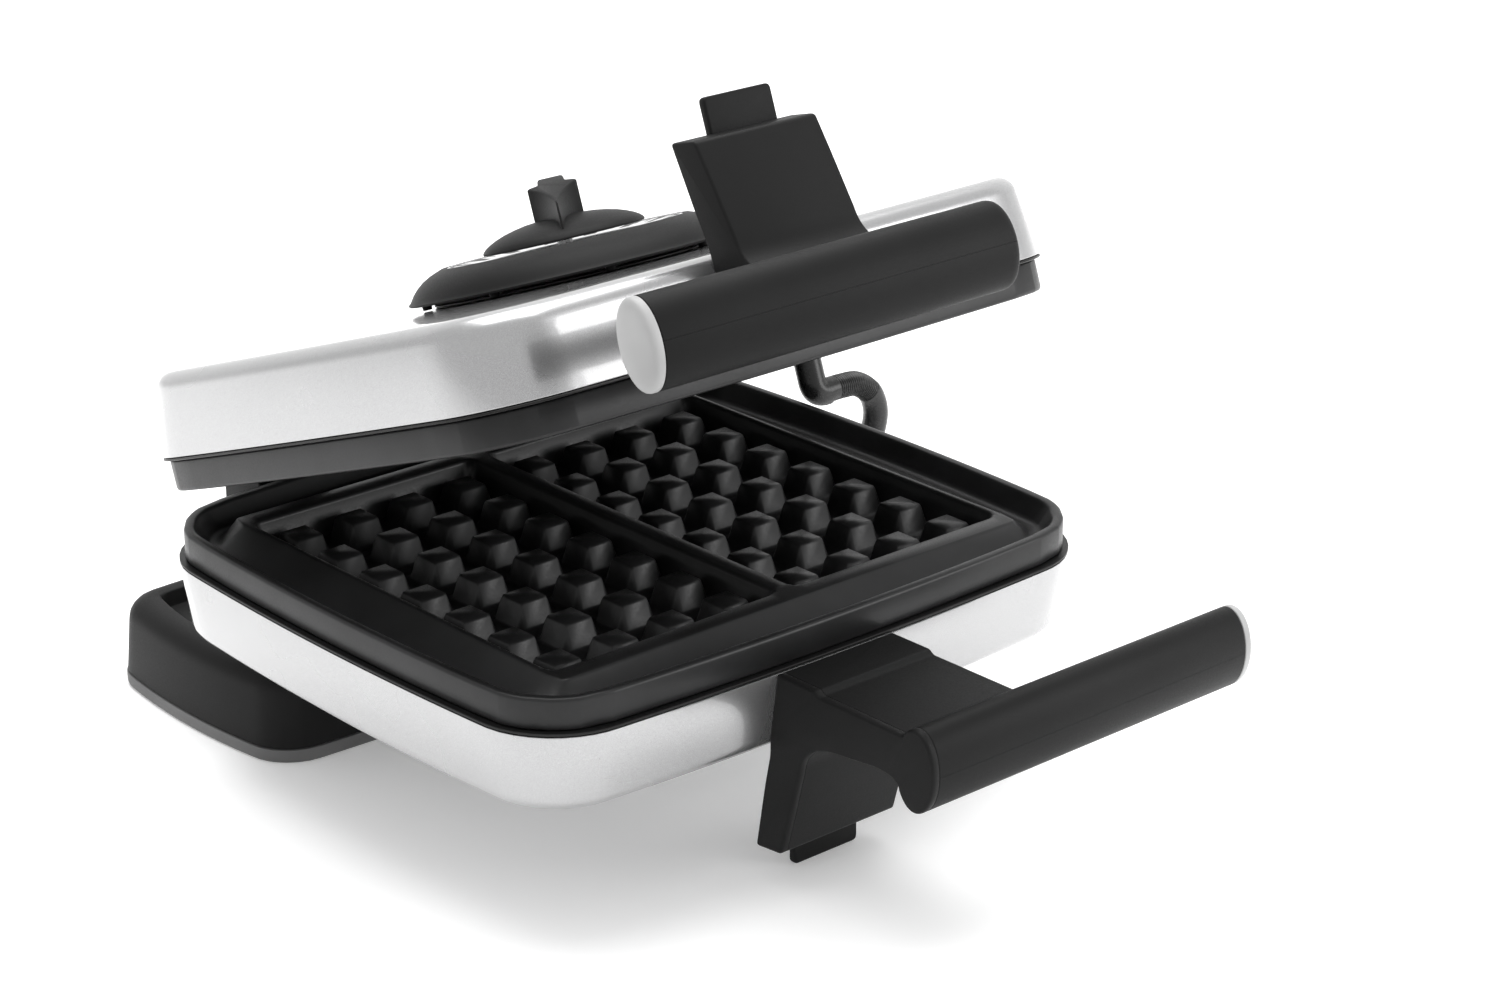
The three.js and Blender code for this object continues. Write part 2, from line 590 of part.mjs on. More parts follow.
function knob() {
  const { radius, low, high } = KNOB;
  const cap = turned([
    [0, low], [radius - 0.6, low], [radius, low + 0.8], [radius - 3, low + 3.4], [radius - 9, low + 6.1],
    [radius - 18, low + 7.9], [0, high],
  ]);
  const bore = rodZ(SHAFT_RADIUS + CLEAR, low - 1, low + 5.5, 12);
  return cut(join(cap, knobFin().rotateZ(KNOB.turn * Math.PI / 180)), bore);
}

// ---- assembly -----------------------------------------------------------------------------------
const rearBase = new THREE.Group();
waffleMaker.add(rearBase);
add(rearBase, 'base_shell', baseShell(), PLASTIC);
add(rearBase, 'base_trim', baseTrim(), GREY_PLASTIC);
add(rearBase, 'base_bottom_plate', loft([[baseOutline(-3.8), 0], [baseOutline(-3.8), 2.5]]), DARK_GREY);
add(rearBase, 'terminal_block', box(-22, 22, -10, 12, 2.8, 17), CERAMIC);
add(rearBase, 'cord_gland', cordGland(), PLASTIC);
add(rearBase, 'conduit_gland', conduitGland(), PLASTIC);
for (const [name, side] of [['left', -1], ['right', 1]]) {
  add(rearBase, `hinge_post_${name}`, hingePost(side), PLASTIC);
  add(rearBase, `post_screw_${name}`, postScrew(side), STEEL);
  add(rearBase, `hinge_pin_${name}`, hingePin(side), STEEL);
}
add(rearBase, 'conduit', conduit(), PLASTIC);

const lowerHalf = new THREE.Group();
lowerHalf.position.copy(closedHalf);
waffleMaker.add(lowerHalf);
addHalf(lowerHalf, 'lower', -1, LOWER_GRIP, POST.middle);

const lidPivot = new THREE.Group();
lidPivot.position.set(0, HINGE_BEHIND - BASE_BEHIND, PARTING_Z);
lidPivot.rotation.x = -THREE.MathUtils.degToRad(LID_OPEN);
waffleMaker.add(lidPivot);
const lid = new THREE.Group();
lid.position.y = -HINGE_BEHIND;
lidPivot.add(lid);
addHalf(lid, 'lid', 1, LID_GRIP, ARM.middle);
add(lid, 'lid_hinge_arm_left', lidHingeArm(-1), PLASTIC);
add(lid, 'lid_hinge_arm_right', lidHingeArm(1), PLASTIC);
add(lid, 'conduit_boot', conduitBoot(), PLASTIC);
add(lid, 'heat_disc', onDial(heatDisc()), DARK_GREY);
add(lid, 'dial_dome', onDial(dialDome()), PLASTIC);
add(lid, 'dial_plate', onDial(dialPlate()), PALE_PLASTIC);
add(lid, 'thermostat_body', onDial(thermostatBody()), ALUMINIUM);
add(lid, 'thermostat_shaft', onDial(thermostatShaft()), STEEL);
add(lid, 'thermostat_knob', onDial(knob()), PLASTIC);

export default waffleMaker;
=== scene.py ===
"""The looks of the waffle maker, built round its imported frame.

Each half is drawn about the middle of its plate: x and y run across the plate and z is the distance from
the parting plane. The lower half is mirrored in that plane. Shapes are in millimetres, placed in metres.
"""
import json
import math

import bmesh
import bpy
from mathutils import Matrix, Vector


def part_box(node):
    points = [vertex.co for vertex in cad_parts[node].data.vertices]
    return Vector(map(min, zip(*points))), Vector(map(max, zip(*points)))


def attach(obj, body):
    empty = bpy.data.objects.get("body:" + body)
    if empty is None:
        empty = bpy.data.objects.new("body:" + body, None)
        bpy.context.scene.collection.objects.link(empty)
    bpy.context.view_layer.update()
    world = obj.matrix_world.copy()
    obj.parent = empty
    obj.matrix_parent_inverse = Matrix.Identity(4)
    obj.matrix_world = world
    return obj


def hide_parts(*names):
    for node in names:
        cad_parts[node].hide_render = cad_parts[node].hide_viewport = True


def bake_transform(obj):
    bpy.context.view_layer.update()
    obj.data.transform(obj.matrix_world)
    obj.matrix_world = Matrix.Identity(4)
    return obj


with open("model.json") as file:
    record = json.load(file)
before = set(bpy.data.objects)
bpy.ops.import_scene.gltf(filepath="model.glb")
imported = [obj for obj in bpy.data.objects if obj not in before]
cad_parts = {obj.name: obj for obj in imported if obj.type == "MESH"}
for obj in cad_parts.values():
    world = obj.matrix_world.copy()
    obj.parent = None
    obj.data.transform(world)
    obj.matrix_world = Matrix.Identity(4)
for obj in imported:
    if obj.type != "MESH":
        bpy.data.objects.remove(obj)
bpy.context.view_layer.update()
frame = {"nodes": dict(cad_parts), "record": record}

# ---- sizes -----------------------------------------------------------------------------------------
MM = 0.001
JOINTS = {joint["name"]: joint for joint in frame["record"]["behaviour"]["joints"]}
HINGE = Vector(JOINTS["lid_hinge"]["pos_m"])
LID_OPEN = -math.radians(JOINTS["lid_hinge"]["range_deg"][0])


def corners(node):
    """Lowest and highest corner of a CAD node, in millimetres."""
    low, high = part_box(node)
    return Vector(low) / MM, Vector(high) / MM


PARTING_Z = HINGE.z / MM
PLATE_LOW, PLATE_HIGH = corners("lower_plate")
HOUSING_LOW, HOUSING_HIGH = corners("lower_housing")
BASE_HIGH = corners("base_shell")[1]
PLATE_Y = (PLATE_LOW.y + PLATE_HIGH.y) / 2
HINGE_BEHIND = HINGE.y / MM - PLATE_Y

RIM = {"x": PLATE_HIGH.x, "y": (PLATE_HIGH.y - PLATE_LOW.y) / 2, "bow_x": 5.2, "bow_y": 5.2, "corner": 27.7}
RIM_DEPTH = 12.2
PLATE_DEPTH = PARTING_Z - PLATE_LOW.z
LIP_X, LIP_Y, LIP_DEPTH, LIP_CORNER = 112, 100, 1.2, 3
CAVITY_X, CAVITY_Y, CAVITY_MIDDLE, CAVITY_DEPTH, CAVITY_CORNER = 53, 92, 57, 14.2, 5
PYRAMIDS_ACROSS, PYRAMIDS_ALONG = 4, 7

HOUSING_TOP = PARTING_Z - HOUSING_HIGH.z
HOUSING_DEPTH = PARTING_Z - HOUSING_LOW.z
HOUSING_OUT = HOUSING_HIGH.x - RIM["x"]
DRAFT = -0.9
WALL = 1.2

BRACKET_X0, BRACKET_X1 = -34.5, 22.5
FLANGE_X1 = -31.2
LEG_DEPTH = 86.2
TAB_X0, TAB_X1, TAB_Y0, TAB_Y1 = -17.5, 14.1, -116.8, -113.4
GRIP_Y, GRIP_DEPTH, GRIP_THICK, GRIP_TALL, GRIP_WALL = -195.4, 27.3, 19, 31.5, 3
ARM_TOP, ARM_BOTTOM = 15.6, 32.3
CAP_LENGTH = 4.8
GAP = 0.3
# Where the grip's sleeve, its hollow and the bracket's tang begin along the bar, and where the sleeve ends.
GRIPS = {
    "lower": {"start": -31, "hollow": -40, "tang": -33, "end": 127.2},
    "lid": {"start": 33, "hollow": 29.7, "tang": 29.4, "end": -127.2},
}

DIAL_Y = 5
DOME_RADIUS, DOME_RIM, DOME_LOW, DOME_HIGH, DOME_FLOOR = 63.5, 48, 47.6, 59.2, 57.4
DOME_FEET, TICK_STEPS = 8, 180
SHAFT_HOLE = 4
DISC_RADIUS, DISC_THICK = 54, 0.7
KNOB_RADIUS, KNOB_LOW, KNOB_HIGH, FIN_TOP, KNOB_TURN = 31.6, 60, 69.8, 81.5, -36

BASE = {"x": BASE_HIGH.x, "y": BASE_HIGH.y, "bow_x": 6, "bow_y": 3, "corner": 16}
BASE_TOP = BASE_HIGH.z
BASE_TRIM = corners("base_trim")[1].z
RECESS_Z, CEILING_Z = 30, 26.5
POST_X, POST_WIDE = 70, 20
ARM_X, ARM_WIDE, KNUCKLE = 52, 14, 11
PIN_RADIUS = 4
CORD_X, CORD_Z = 60, 17
# Middle line of the conduit from the base's right end to the boot, in the object's own axes.
CONDUIT_ROUTE = [
    (125, -26, 18), (135, -26, 18), (150, -33, 22.5), (164, -47, 34), (175.5, -64, 49), (183, -76, 65),
    (185.5, -80, 79), (182.5, -80.5, 90.5), (174, -80.5, 97.4), (165, -80.5, 98.7), (156.3, -80.5, 98.7),
]
CONDUIT_RADIUS, RIB_PITCH = 5.5, 1.1
ELBOW = 0.56, 0.83  # the stretch without ribs, as shares of the conduit's length
BOOT_START, BOOT_X, BOOT_END = 134, 149.6, 156
BOOT_Y, BOOT_TOP, BOOT_BOTTOM = 60.1, 26, -31.2

LOWER_PLACE = Matrix.Translation((0, PLATE_Y * MM, HINGE.z))
LID_PLACE = (
    Matrix.Translation(HINGE)
    @ Matrix.Rotation(-LID_OPEN, 4, "X")
    @ Matrix.Translation((0, -HINGE_BEHIND * MM, 0))
)
DIAL_PLACE = LID_PLACE @ Matrix.Translation((0, DIAL_Y * MM, 0))
BASE_PLACE = Matrix.Identity(4)

# ---- camera ----------------------------------------------------------------------------------------
CAMERA_AIM = Vector((0.0644, PLATE_Y * MM, 0.0888))
CAMERA_AZIMUTH, CAMERA_ELEVATION = math.radians(41.69), math.radians(21.53)
CAMERA_DISTANCE, CAMERA_LENS = 1.4061, 85.0


def add_camera():
    """Camera that looks at the aim from the front left, a little above."""
    data = bpy.data.cameras.new("camera")
    data.lens, data.sensor_width = CAMERA_LENS, 36
    camera = bpy.data.objects.new("camera", data)
    bpy.context.collection.objects.link(camera)
    flat = math.cos(CAMERA_ELEVATION)
    back = Vector((
        -math.sin(CAMERA_AZIMUTH) * flat, -math.cos(CAMERA_AZIMUTH) * flat, math.sin(CAMERA_ELEVATION),
    ))
    camera.location = CAMERA_AIM + back * CAMERA_DISTANCE
    camera.rotation_euler = back.to_track_quat("Z", "Y").to_euler()
    bpy.context.scene.camera = camera


add_camera()


# ---- outlines --------------------------------------------------------------------------------------
ARC_STEPS = 16
SIDE_STEPS = 24
# Shares of a side at which an outline has points, for the sides that run in X and those in Y.
EVEN_MARKS = ([i / 48 for i in range(48)], [i / 40 for i in range(40)])


def outline(shape, offset=0.0, marks=EVEN_MARKS):
    """Closed outline of a rounded rectangle with bowed sides, from its +X +Y diagonal, anticlockwise."""
    half_x, half_y = shape["x"] - shape["bow_x"] + offset, shape["y"] - shape["bow_y"] + offset
    radius = max(shape["corner"] + offset, 1.0)
    quarters = []
    for quarter, (side_x, side_y) in enumerate(((1, 1), (-1, 1), (-1, -1), (1, -1))):
        arc = []
        for step in range(ARC_STEPS + 1):
            angle = (quarter + step / ARC_STEPS) * math.pi / 2
            arc.append(Vector((
                side_x * (half_x - radius) + radius * math.cos(angle),
                side_y * (half_y - radius) + radius * math.sin(angle),
            )))
        quarters.append(arc)
    result = []
    for quarter in range(4):
        here, following = quarters[quarter], quarters[(quarter + 1) % 4]
        straight = [here[-1].lerp(following[0], i / SIDE_STEPS) for i in range(1, SIDE_STEPS)]
        side = here[ARC_STEPS // 2:] + straight + following[:ARC_STEPS // 2 + 1]
        bowed = [Vector((
            p.x * (1 + shape["bow_x"] / half_x * (1 - (p.y / half_y) ** 2)),
            p.y * (1 + shape["bow_y"] / half_y * (1 - (p.x / half_x) ** 2)),
        )) for p in side]
        result += along(bowed, marks[quarter % 2])
    return result


def along(points, fractions):
    """Points at fractions of a polyline's length."""
    reach = [0.0]
    for a, b in zip(points, points[1:]):
        reach.append(reach[-1] + (b - a).length)
    result, i = [], 0
    for fraction in fractions:
        target = fraction * reach[-1]
        while i < len(points) - 2 and reach[i + 1] < target:
            i += 1
        result.append(points[i].lerp(points[i + 1], (target - reach[i]) / (reach[i + 1] - reach[i])))
    return result


def circle(radius):
    """A circle with as many points as an outline, from the same diagonal."""
    turns = [quarter + mark for quarter in range(4) for mark in EVEN_MARKS[quarter % 2]]
    angles = [math.pi * (0.25 + turn / 2) for turn in turns]
    return [Vector((math.cos(a), math.sin(a))) * radius for a in angles]


def bezier(a, b, c, steps):
    """Points of a quadratic curve from a to c, bent towards b."""
    a, b, c = Vector(a), Vector(b), Vector(c)
    shares = [i / steps for i in range(steps + 1)]
    return [a * (1 - t) ** 2 + b * 2 * t * (1 - t) + c * t ** 2 for t in shares]


def soften(corners_with_cuts, steps=4):
    """A closed polygon, or path in space, whose corners are cut by a curve: [(point, cut), ...]."""
    result = []
    count = len(corners_with_cuts)
    for i, (point, cut) in enumerate(corners_with_cuts):
        here = Vector(point)
        if cut == 0:
            result.append(here)
            continue
        start = here + (Vector(corners_with_cuts[i - 1][0]) - here).normalized() * cut
        end = here + (Vector(corners_with_cuts[(i + 1) % count][0]) - here).normalized() * cut
        result += bezier(start, here, end, steps)
    return result


def inset(polygon, distance):
    """The polygon with every side moved inwards."""
    count = len(polygon)
    area = sum(polygon[i - 1].cross(polygon[i]) for i in range(count))
    turn = math.copysign(1, area)
    result = []
    for i, point in enumerate(polygon):
        before = (point - polygon[i - 1]).normalized()
        after = (polygon[(i + 1) % count] - point).normalized()
        inwards = Vector((-before.y - after.y, before.x + after.x)) * turn
        inwards.normalize()
        spread = max(0.35, Vector((-before.y, before.x)).dot(inwards) * turn)
        result.append(point + inwards * distance / spread)
    return result


# ---- solids ----------------------------------------------------------------------------------------
class Shape:
    """Points in millimetres and the faces between them."""

    def __init__(self):
        self.points, self.faces = [], []

    def ring(self, points):
        first = len(self.points)
        self.points += [Vector(p) for p in points]
        return list(range(first, len(self.points)))

    def bridge(self, ring_a, ring_b):
        count = len(ring_a)
        for i in range(count):
            j = (i + 1) % count
            self.faces.append((ring_a[i], ring_a[j], ring_b[j], ring_b[i]))

    def add(self, other):
        first = len(self.points)
        self.points += other.points
        self.faces += [tuple(first + i for i in face) for face in other.faces]


def loft(rings, closed=False):
    """Joins rings of equal point count. An open loft is capped, a closed one is a band."""
    shape = Shape()
    indices = [shape.ring(ring) for ring in rings]
    for ring_a, ring_b in zip(indices, indices[1:]):
        shape.bridge(ring_a, ring_b)
    if closed:
        shape.bridge(indices[-1], indices[0])
    else:
        shape.faces += [tuple(indices[0]), tuple(reversed(indices[-1]))]
    return shape


def at_level(points, level):
    return [(p.x, p.y, level) for p in points]


def stack(shape, profile, closed=False):
    """A loft of one outline at [(offset, level), ...]."""
    return loft([at_level(outline(shape, offset), level) for offset, level in profile], closed)


def arc(centre, radius, start, end, steps=6):
    """Points of a profile's round stretch, with angles in degrees."""
    angles = [math.radians(start + (end - start) * i / steps) for i in range(steps + 1)]
    return [(centre[0] + radius * math.cos(a), centre[1] + radius * math.sin(a)) for a in angles]


def lathe(profile, steps=96, axes=lambda x, y, z: (x, y, z)):
    """Turns a closed profile of (radius, level). Where it meets the axis it closes in a point."""
    shape = Shape()
    rings = []
    for radius, level in profile:
        turn = [2 * math.pi * i / steps for i in range(steps)]
        if radius == 0:
            rings.append(shape.ring([axes(0, 0, level)]) * steps)
        else:
            around = [axes(radius * math.cos(a), radius * math.sin(a), level) for a in turn]
            rings.append(shape.ring(around))
    hollow = profile[0][0] > 0
    for i in range(len(rings) - (0 if hollow else 1)):
        shape.bridge(rings[i], rings[(i + 1) % len(rings)])
    return shape


def to_x(a, b, c):
    return c, a, b


def to_y(a, b, c):
    return a, c, b


ROUNDING = ((0, 1), (0.13, 0.5), (0.293, 0.293), (0.5, 0.13), (1, 0))  # how far along, how far in


def prism(polygon, start, end, edge, axes):
    """Extrudes a polygon with round edges at both ends."""
    levels = [(start + edge * reach, edge * depth) for reach, depth in ROUNDING]
    levels += [(end - edge * reach, edge * depth) for reach, depth in reversed(ROUNDING)]
    return loft([[axes(p.x, p.y, level) for p in inset(polygon, depth)] for level, depth in levels])


def tube(path, radii, sides=20):
    """Sweeps a circle along points in space, with a radius at each."""
    rings = []
    side = Vector((0, 0, 1))
    for i, point in enumerate(path):
        ahead = (path[min(i + 1, len(path) - 1)] - path[max(i - 1, 0)]).normalized()
        side = (side - ahead * side.dot(ahead)).normalized()
        up = ahead.cross(side)
        turn = [2 * math.pi * k / sides for k in range(sides)]
        rings.append([point + (side * math.cos(a) + up * math.sin(a)) * radii[i] for a in turn])
    return loft(rings)


def catmull(points, per_span):
    """A smooth curve through points."""
    points = [Vector(p) for p in points]
    padded = [points[0] * 2 - points[1]] + points + [points[-1] * 2 - points[-2]]
    result = []
    for a, b, c, d in zip(padded, padded[1:], padded[2:], padded[3:]):
        for step in range(per_span):
            t = step / per_span
            bend, twist = 2 * a - 5 * b + 4 * c - d, 3 * b - a - 3 * c + d
            result.append(0.5 * (2 * b + (c - a) * t + bend * t ** 2 + twist * t ** 3))
    return result + [points[-1]]


# ---- pieces ----------------------------------------------------------------------------------------
def build(name, shape):
    """An object from a shape, drawn at the origin."""
    mesh = bpy.data.meshes.new(name)
    faces = [tuple(dict.fromkeys(face)) for face in shape.faces]
    mesh.from_pydata([p * MM for p in shape.points], [], [face for face in faces if len(face) > 2])
    drawn = bmesh.new()
    drawn.from_mesh(mesh)
    bmesh.ops.remove_doubles(drawn, verts=drawn.verts, dist=1e-7)
    bmesh.ops.recalc_face_normals(drawn, faces=drawn.faces)
    drawn.to_mesh(mesh)
    drawn.free()
    piece = bpy.data.objects.new(name, mesh)
    bpy.context.collection.objects.link(piece)
    return piece


def combine(piece, shape, operation):
    """Adds a shape to a piece (UNION) or cuts it away (DIFFERENCE)."""
    tool = build("tool", shape)
    modifier = piece.modifiers.new("combine", "BOOLEAN")
    modifier.operation, modifier.object, modifier.solver = operation, tool, "EXACT"
    evaluated = piece.evaluated_get(bpy.context.evaluated_depsgraph_get())
    mesh = bpy.data.meshes.new_from_object(evaluated)
    piece.modifiers.clear()
    piece.data = mesh
    bpy.data.objects.remove(tool)
    return piece


def keep_local(piece):
    """Stores where the points are before the piece is placed, for its textures."""
    attribute = piece.data.attributes.new("local", "FLOAT_VECTOR", "POINT")
    attribute.data.foreach_set("vector", [value for vertex in piece.data.vertices for value in vertex.co])


def settle(piece, look, place, body, stands_for, mirror=False, sharp=38):
    """Gives a piece its finish and place, and lets it ride on a body for its CAD nodes."""
    if mirror:
        piece.data.transform(Matrix.Scale(-1, 4, (0, 0, 1)))
        piece.data.flip_normals()
    piece.data.polygons.foreach_set("use_smooth", [True] * len(piece.data.polygons))
    piece.data.set_sharp_from_angle(angle=math.radians(sharp))
    piece.data.materials.clear()
    piece.data.materials.append(look)
    keep_local(piece)
    piece.data.transform(place)
    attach(piece, body)
    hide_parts(*stands_for)
    return piece


# ---- materials -------------------------------------------------------------------------------------
class Look:
    """A procedural material on a Principled shader, laid out in a piece's own coordinates."""

    def __init__(self, name, local=True, **values):
        self.material = bpy.data.materials.new(name)
        self.material.use_nodes = True
        self.tree = self.material.node_tree
        self.shader = self.tree.nodes["Principled BSDF"]
        for socket, value in values.items():
            self.shader.inputs[socket.replace("_", " ")].default_value = value
        if local:
            self.where = self.node("Attribute", attribute_name="local").outputs["Vector"]
        else:
            self.where = self.node("TexCoord").outputs["Object"]

    def node(self, kind, links=(), **values):
        """Adds a node. Each link gives a socket either another socket or a plain value."""
        node = self.tree.nodes.new("ShaderNode" + kind)
        for name, value in values.items():
            setattr(node, name, value)
        for socket, source in links:
            if isinstance(source, bpy.types.NodeSocket):
                self.tree.links.new(source, node.inputs[socket])
            else:
                node.inputs[socket].default_value = source
        return node

    def noise(self, scale, detail=3, stretch=(1, 1, 1), roughness=0.5):
        """Noise of so many cells to the metre."""
        place = self.node("Mapping", [("Vector", self.where), ("Scale", stretch)])
        links = [("Vector", place.outputs[0]), ("Scale", scale), ("Detail", detail)]
        return self.node("TexNoise", links + [("Roughness", roughness)]).outputs["Fac"]

    def range(self, value, low, high, to_low, to_high):
        """Spreads a value from one range to another."""
        links = [(0, value), (1, low), (2, high), (3, to_low), (4, to_high)]
        return self.node("MapRange", links).outputs[0]

    def colours(self, value, *stops):
        """A colour ramp through stops of (position, colour)."""
        ramp = self.node("ValToRGB", [("Fac", value)])
        elements = ramp.color_ramp.elements
        while len(elements) < len(stops):
            elements.new(0.5)
        for element, (position, colour) in zip(elements, stops):
            element.position, element.color = position, (*colour, 1)
        return ramp.outputs[0]

    def drive(self, socket, source):
        self.tree.links.new(source, self.shader.inputs[socket])

    def bump(self, *heights):
        """Adds relief: each height is (value, depth in millimetres, strength)."""
        normal = None
        for value, depth, strength in heights:
            links = [("Height", value), ("Distance", depth * MM), ("Strength", strength)]
            if normal:
                links.append(("Normal", normal))
            normal = self.node("Bump", links).outputs[0]
        self.drive("Normal", normal)


def grey(level, tint=0.0):
    return level, level, level * (1 + tint)


def lacquer():
    """Satin silver lacquer with fine metallic flakes."""
    look = Look("satin_silver_lacquer", Metallic=0.85, Coat_Weight=1.0, Coat_Roughness=0.06, Coat_IOR=1.6)
    flakes = look.noise(5200, 2, roughness=0.7)
    clouds = look.noise(14, 3)
    speckle = look.colours(
        flakes, (0.28, grey(0.28, 0.01)), (0.5, grey(0.39, 0.01)), (0.72, grey(0.54, 0.01)),
    )
    look.drive("Base Color", speckle)
    look.drive("Roughness", look.range(clouds, 0.3, 0.7, 0.24, 0.32))
    look.bump((flakes, 0.012, 0.35), (look.noise(60, 2), 0.012, 0.1))
    return look.material


def coating():
    """Black non-stick coating, slightly orange-peeled."""
    look = Look("non_stick_coating", Specular_IOR_Level=0.3)
    fine = look.noise(1600, 3)
    look.drive("Base Color", look.colours(look.noise(35, 4), (0.3, grey(0.008)), (0.7, grey(0.016, 0.04))))
    look.drive("Roughness", look.range(fine, 0.3, 0.7, 0.3, 0.44))
    look.bump((fine, 0.02, 0.25), (look.noise(260, 2), 0.05, 0.12))
    return look.material


def brushed():
    """Dark brushed wall of the plates, with its lines along the rim."""
    look = Look("brushed_dark_wall", Specular_IOR_Level=0.35)
    lines = look.noise(90, 6, stretch=(1, 1, 60), roughness=0.75)
    blotches = look.noise(26, 4)
    look.drive("Base Color", look.colours(lines, (0.35, grey(0.004)), (0.7, grey(0.03, 0.03))))
    look.drive("Roughness", look.range(blotches, 0.3, 0.7, 0.36, 0.5))
    look.bump((lines, 0.02, 0.4))
    return look.material


def plastic(name, level, rough=(0.46, 0.58), grain=1500, depth=0.03, tint=0.0, shine=0.25, local=True):
    """Moulded plastic with a fine spark-eroded grain and faint cloudiness."""
    look = Look(name, local, Specular_IOR_Level=shine)
    fine = look.noise(grain, 4, roughness=0.65)
    clouds = look.noise(22, 3)
    look.drive("Base Color", look.colours(
        clouds, (0.3, grey(level * 0.86, tint)), (0.7, grey(level * 1.14, tint)),
    ))
    look.drive("Roughness", look.range(fine, 0.3, 0.7, *rough))
    look.bump((fine, depth, 0.3))
    return look.material


def metal(name, level, rough, stretch=(1, 1, 1), tint=0.0, local=True):
    """Bare or plated metal with fine drawing lines."""
    look = Look(name, local, Metallic=1.0)
    lines = look.noise(400, 4, stretch=stretch)
    look.drive("Base Color", look.colours(lines, (0.3, grey(level * 0.85, tint)), (0.7, grey(level, tint))))
    look.drive("Roughness", look.range(lines, 0.3, 0.7, rough, rough + 0.12))
    look.bump((lines, 0.01, 0.2))
    return look.material


LACQUER = lacquer()
COATING = coating()
BRUSHED = brushed()
BLACK = plastic("black_plastic", 0.008, rough=(0.44, 0.56), shine=0.12)
TRIM_BLACK = plastic("trim_black", 0.008, rough=(0.3, 0.4), grain=900, depth=0.01)
PALE = plastic("pale_grey_plastic", 0.38, rough=(0.3, 0.38), grain=1200, depth=0.01)
GREY = plastic("grey_plastic", 0.13)
DARK_GREY = plastic("dark_grey_shield", 0.045, rough=(0.4, 0.5))
RUBBER = plastic("black_rubber", 0.01, rough=(0.24, 0.34), grain=700, depth=0.015, shine=0.4)
CERAMIC = plastic("ceramic", 0.62, rough=(0.6, 0.75), tint=-0.12, local=False)
INK = plastic("printed_ink", 0.01, rough=(0.4, 0.5))
STEEL = metal("zinc_plated_steel", 0.6, 0.24)
STEEL_PARTS = metal("zinc_plated_parts", 0.6, 0.24, local=False)
ELEMENT = metal("heat_tinted_steel", 0.34, 0.34, tint=-0.1, local=False)
ALUMINIUM = metal("aluminium_sheet", 0.8, 0.3, stretch=(1, 30, 1), local=False)
DIAL_SILVER = metal("dial_silver", 0.8, 0.4)


# ---- plates ----------------------------------------------------------------------------------------
# Depth of the surface at a distance outside a cavity's mouth, and from a pyramid's axis.
MOUTH = ((-4.2, CAVITY_DEPTH), (-2.9, 14.0), (-2.0, 13.1), (-0.4, 2.9), (0.0, 1.75), (0.9, LIP_DEPTH))
PYRAMID = ((5.4, 4.2), (6.2, 4.7), (8.8, 13.4), (9.9, CAVITY_DEPTH))


def follow(table, value):
    """Straight lines through a table of (value, result)."""
    if value <= table[0][0]:
        return table[0][1]
    for (a, low), (b, high) in zip(table, table[1:]):
        if value <= b:
            return low + (high - low) * (value - a) / (b - a)
    return table[-1][1]


def pyramid_places(count, half):
    """Middles of a row of pyramids in a cavity."""
    pitch = (2 * half - 1) / count
    return [(i - (count - 1) / 2) * pitch for i in range(count)]


COLUMNS = pyramid_places(PYRAMIDS_ACROSS, CAVITY_X)
ROWS = pyramid_places(PYRAMIDS_ALONG, CAVITY_Y)


def mould_depth(x, y):
    """Depth of the plate's face inside its raised border."""
    x -= math.copysign(CAVITY_MIDDLE, x)
    out_x, out_y = abs(x) - CAVITY_X + CAVITY_CORNER, abs(y) - CAVITY_Y + CAVITY_CORNER
    outside = min(max(out_x, out_y), 0) + math.hypot(max(out_x, 0), max(out_y, 0)) - CAVITY_CORNER
    near_x = min(abs(x - column) for column in COLUMNS)
    near_y = min(abs(y - row) for row in ROWS)
    near = (near_x ** 8 + near_y ** 8) ** 0.125
    return min(follow(MOUTH, outside), follow(PYRAMID, near))


def grid_lines(places, half, border, middles):
    """Where the face needs lines of points: at each change of slope."""
    lines = {-border, border}
    for middle in middles:
        for sign in (-1, 1):
            lines |= {middle + sign * (half + reach) for reach, _ in MOUTH}
            lines |= {middle + place + sign * reach for place in places for reach, _ in PYRAMID}
    kept = []
    for line in sorted(lines):
        if not kept or line - kept[-1] > 0.35:
            kept.append(line)
    return kept


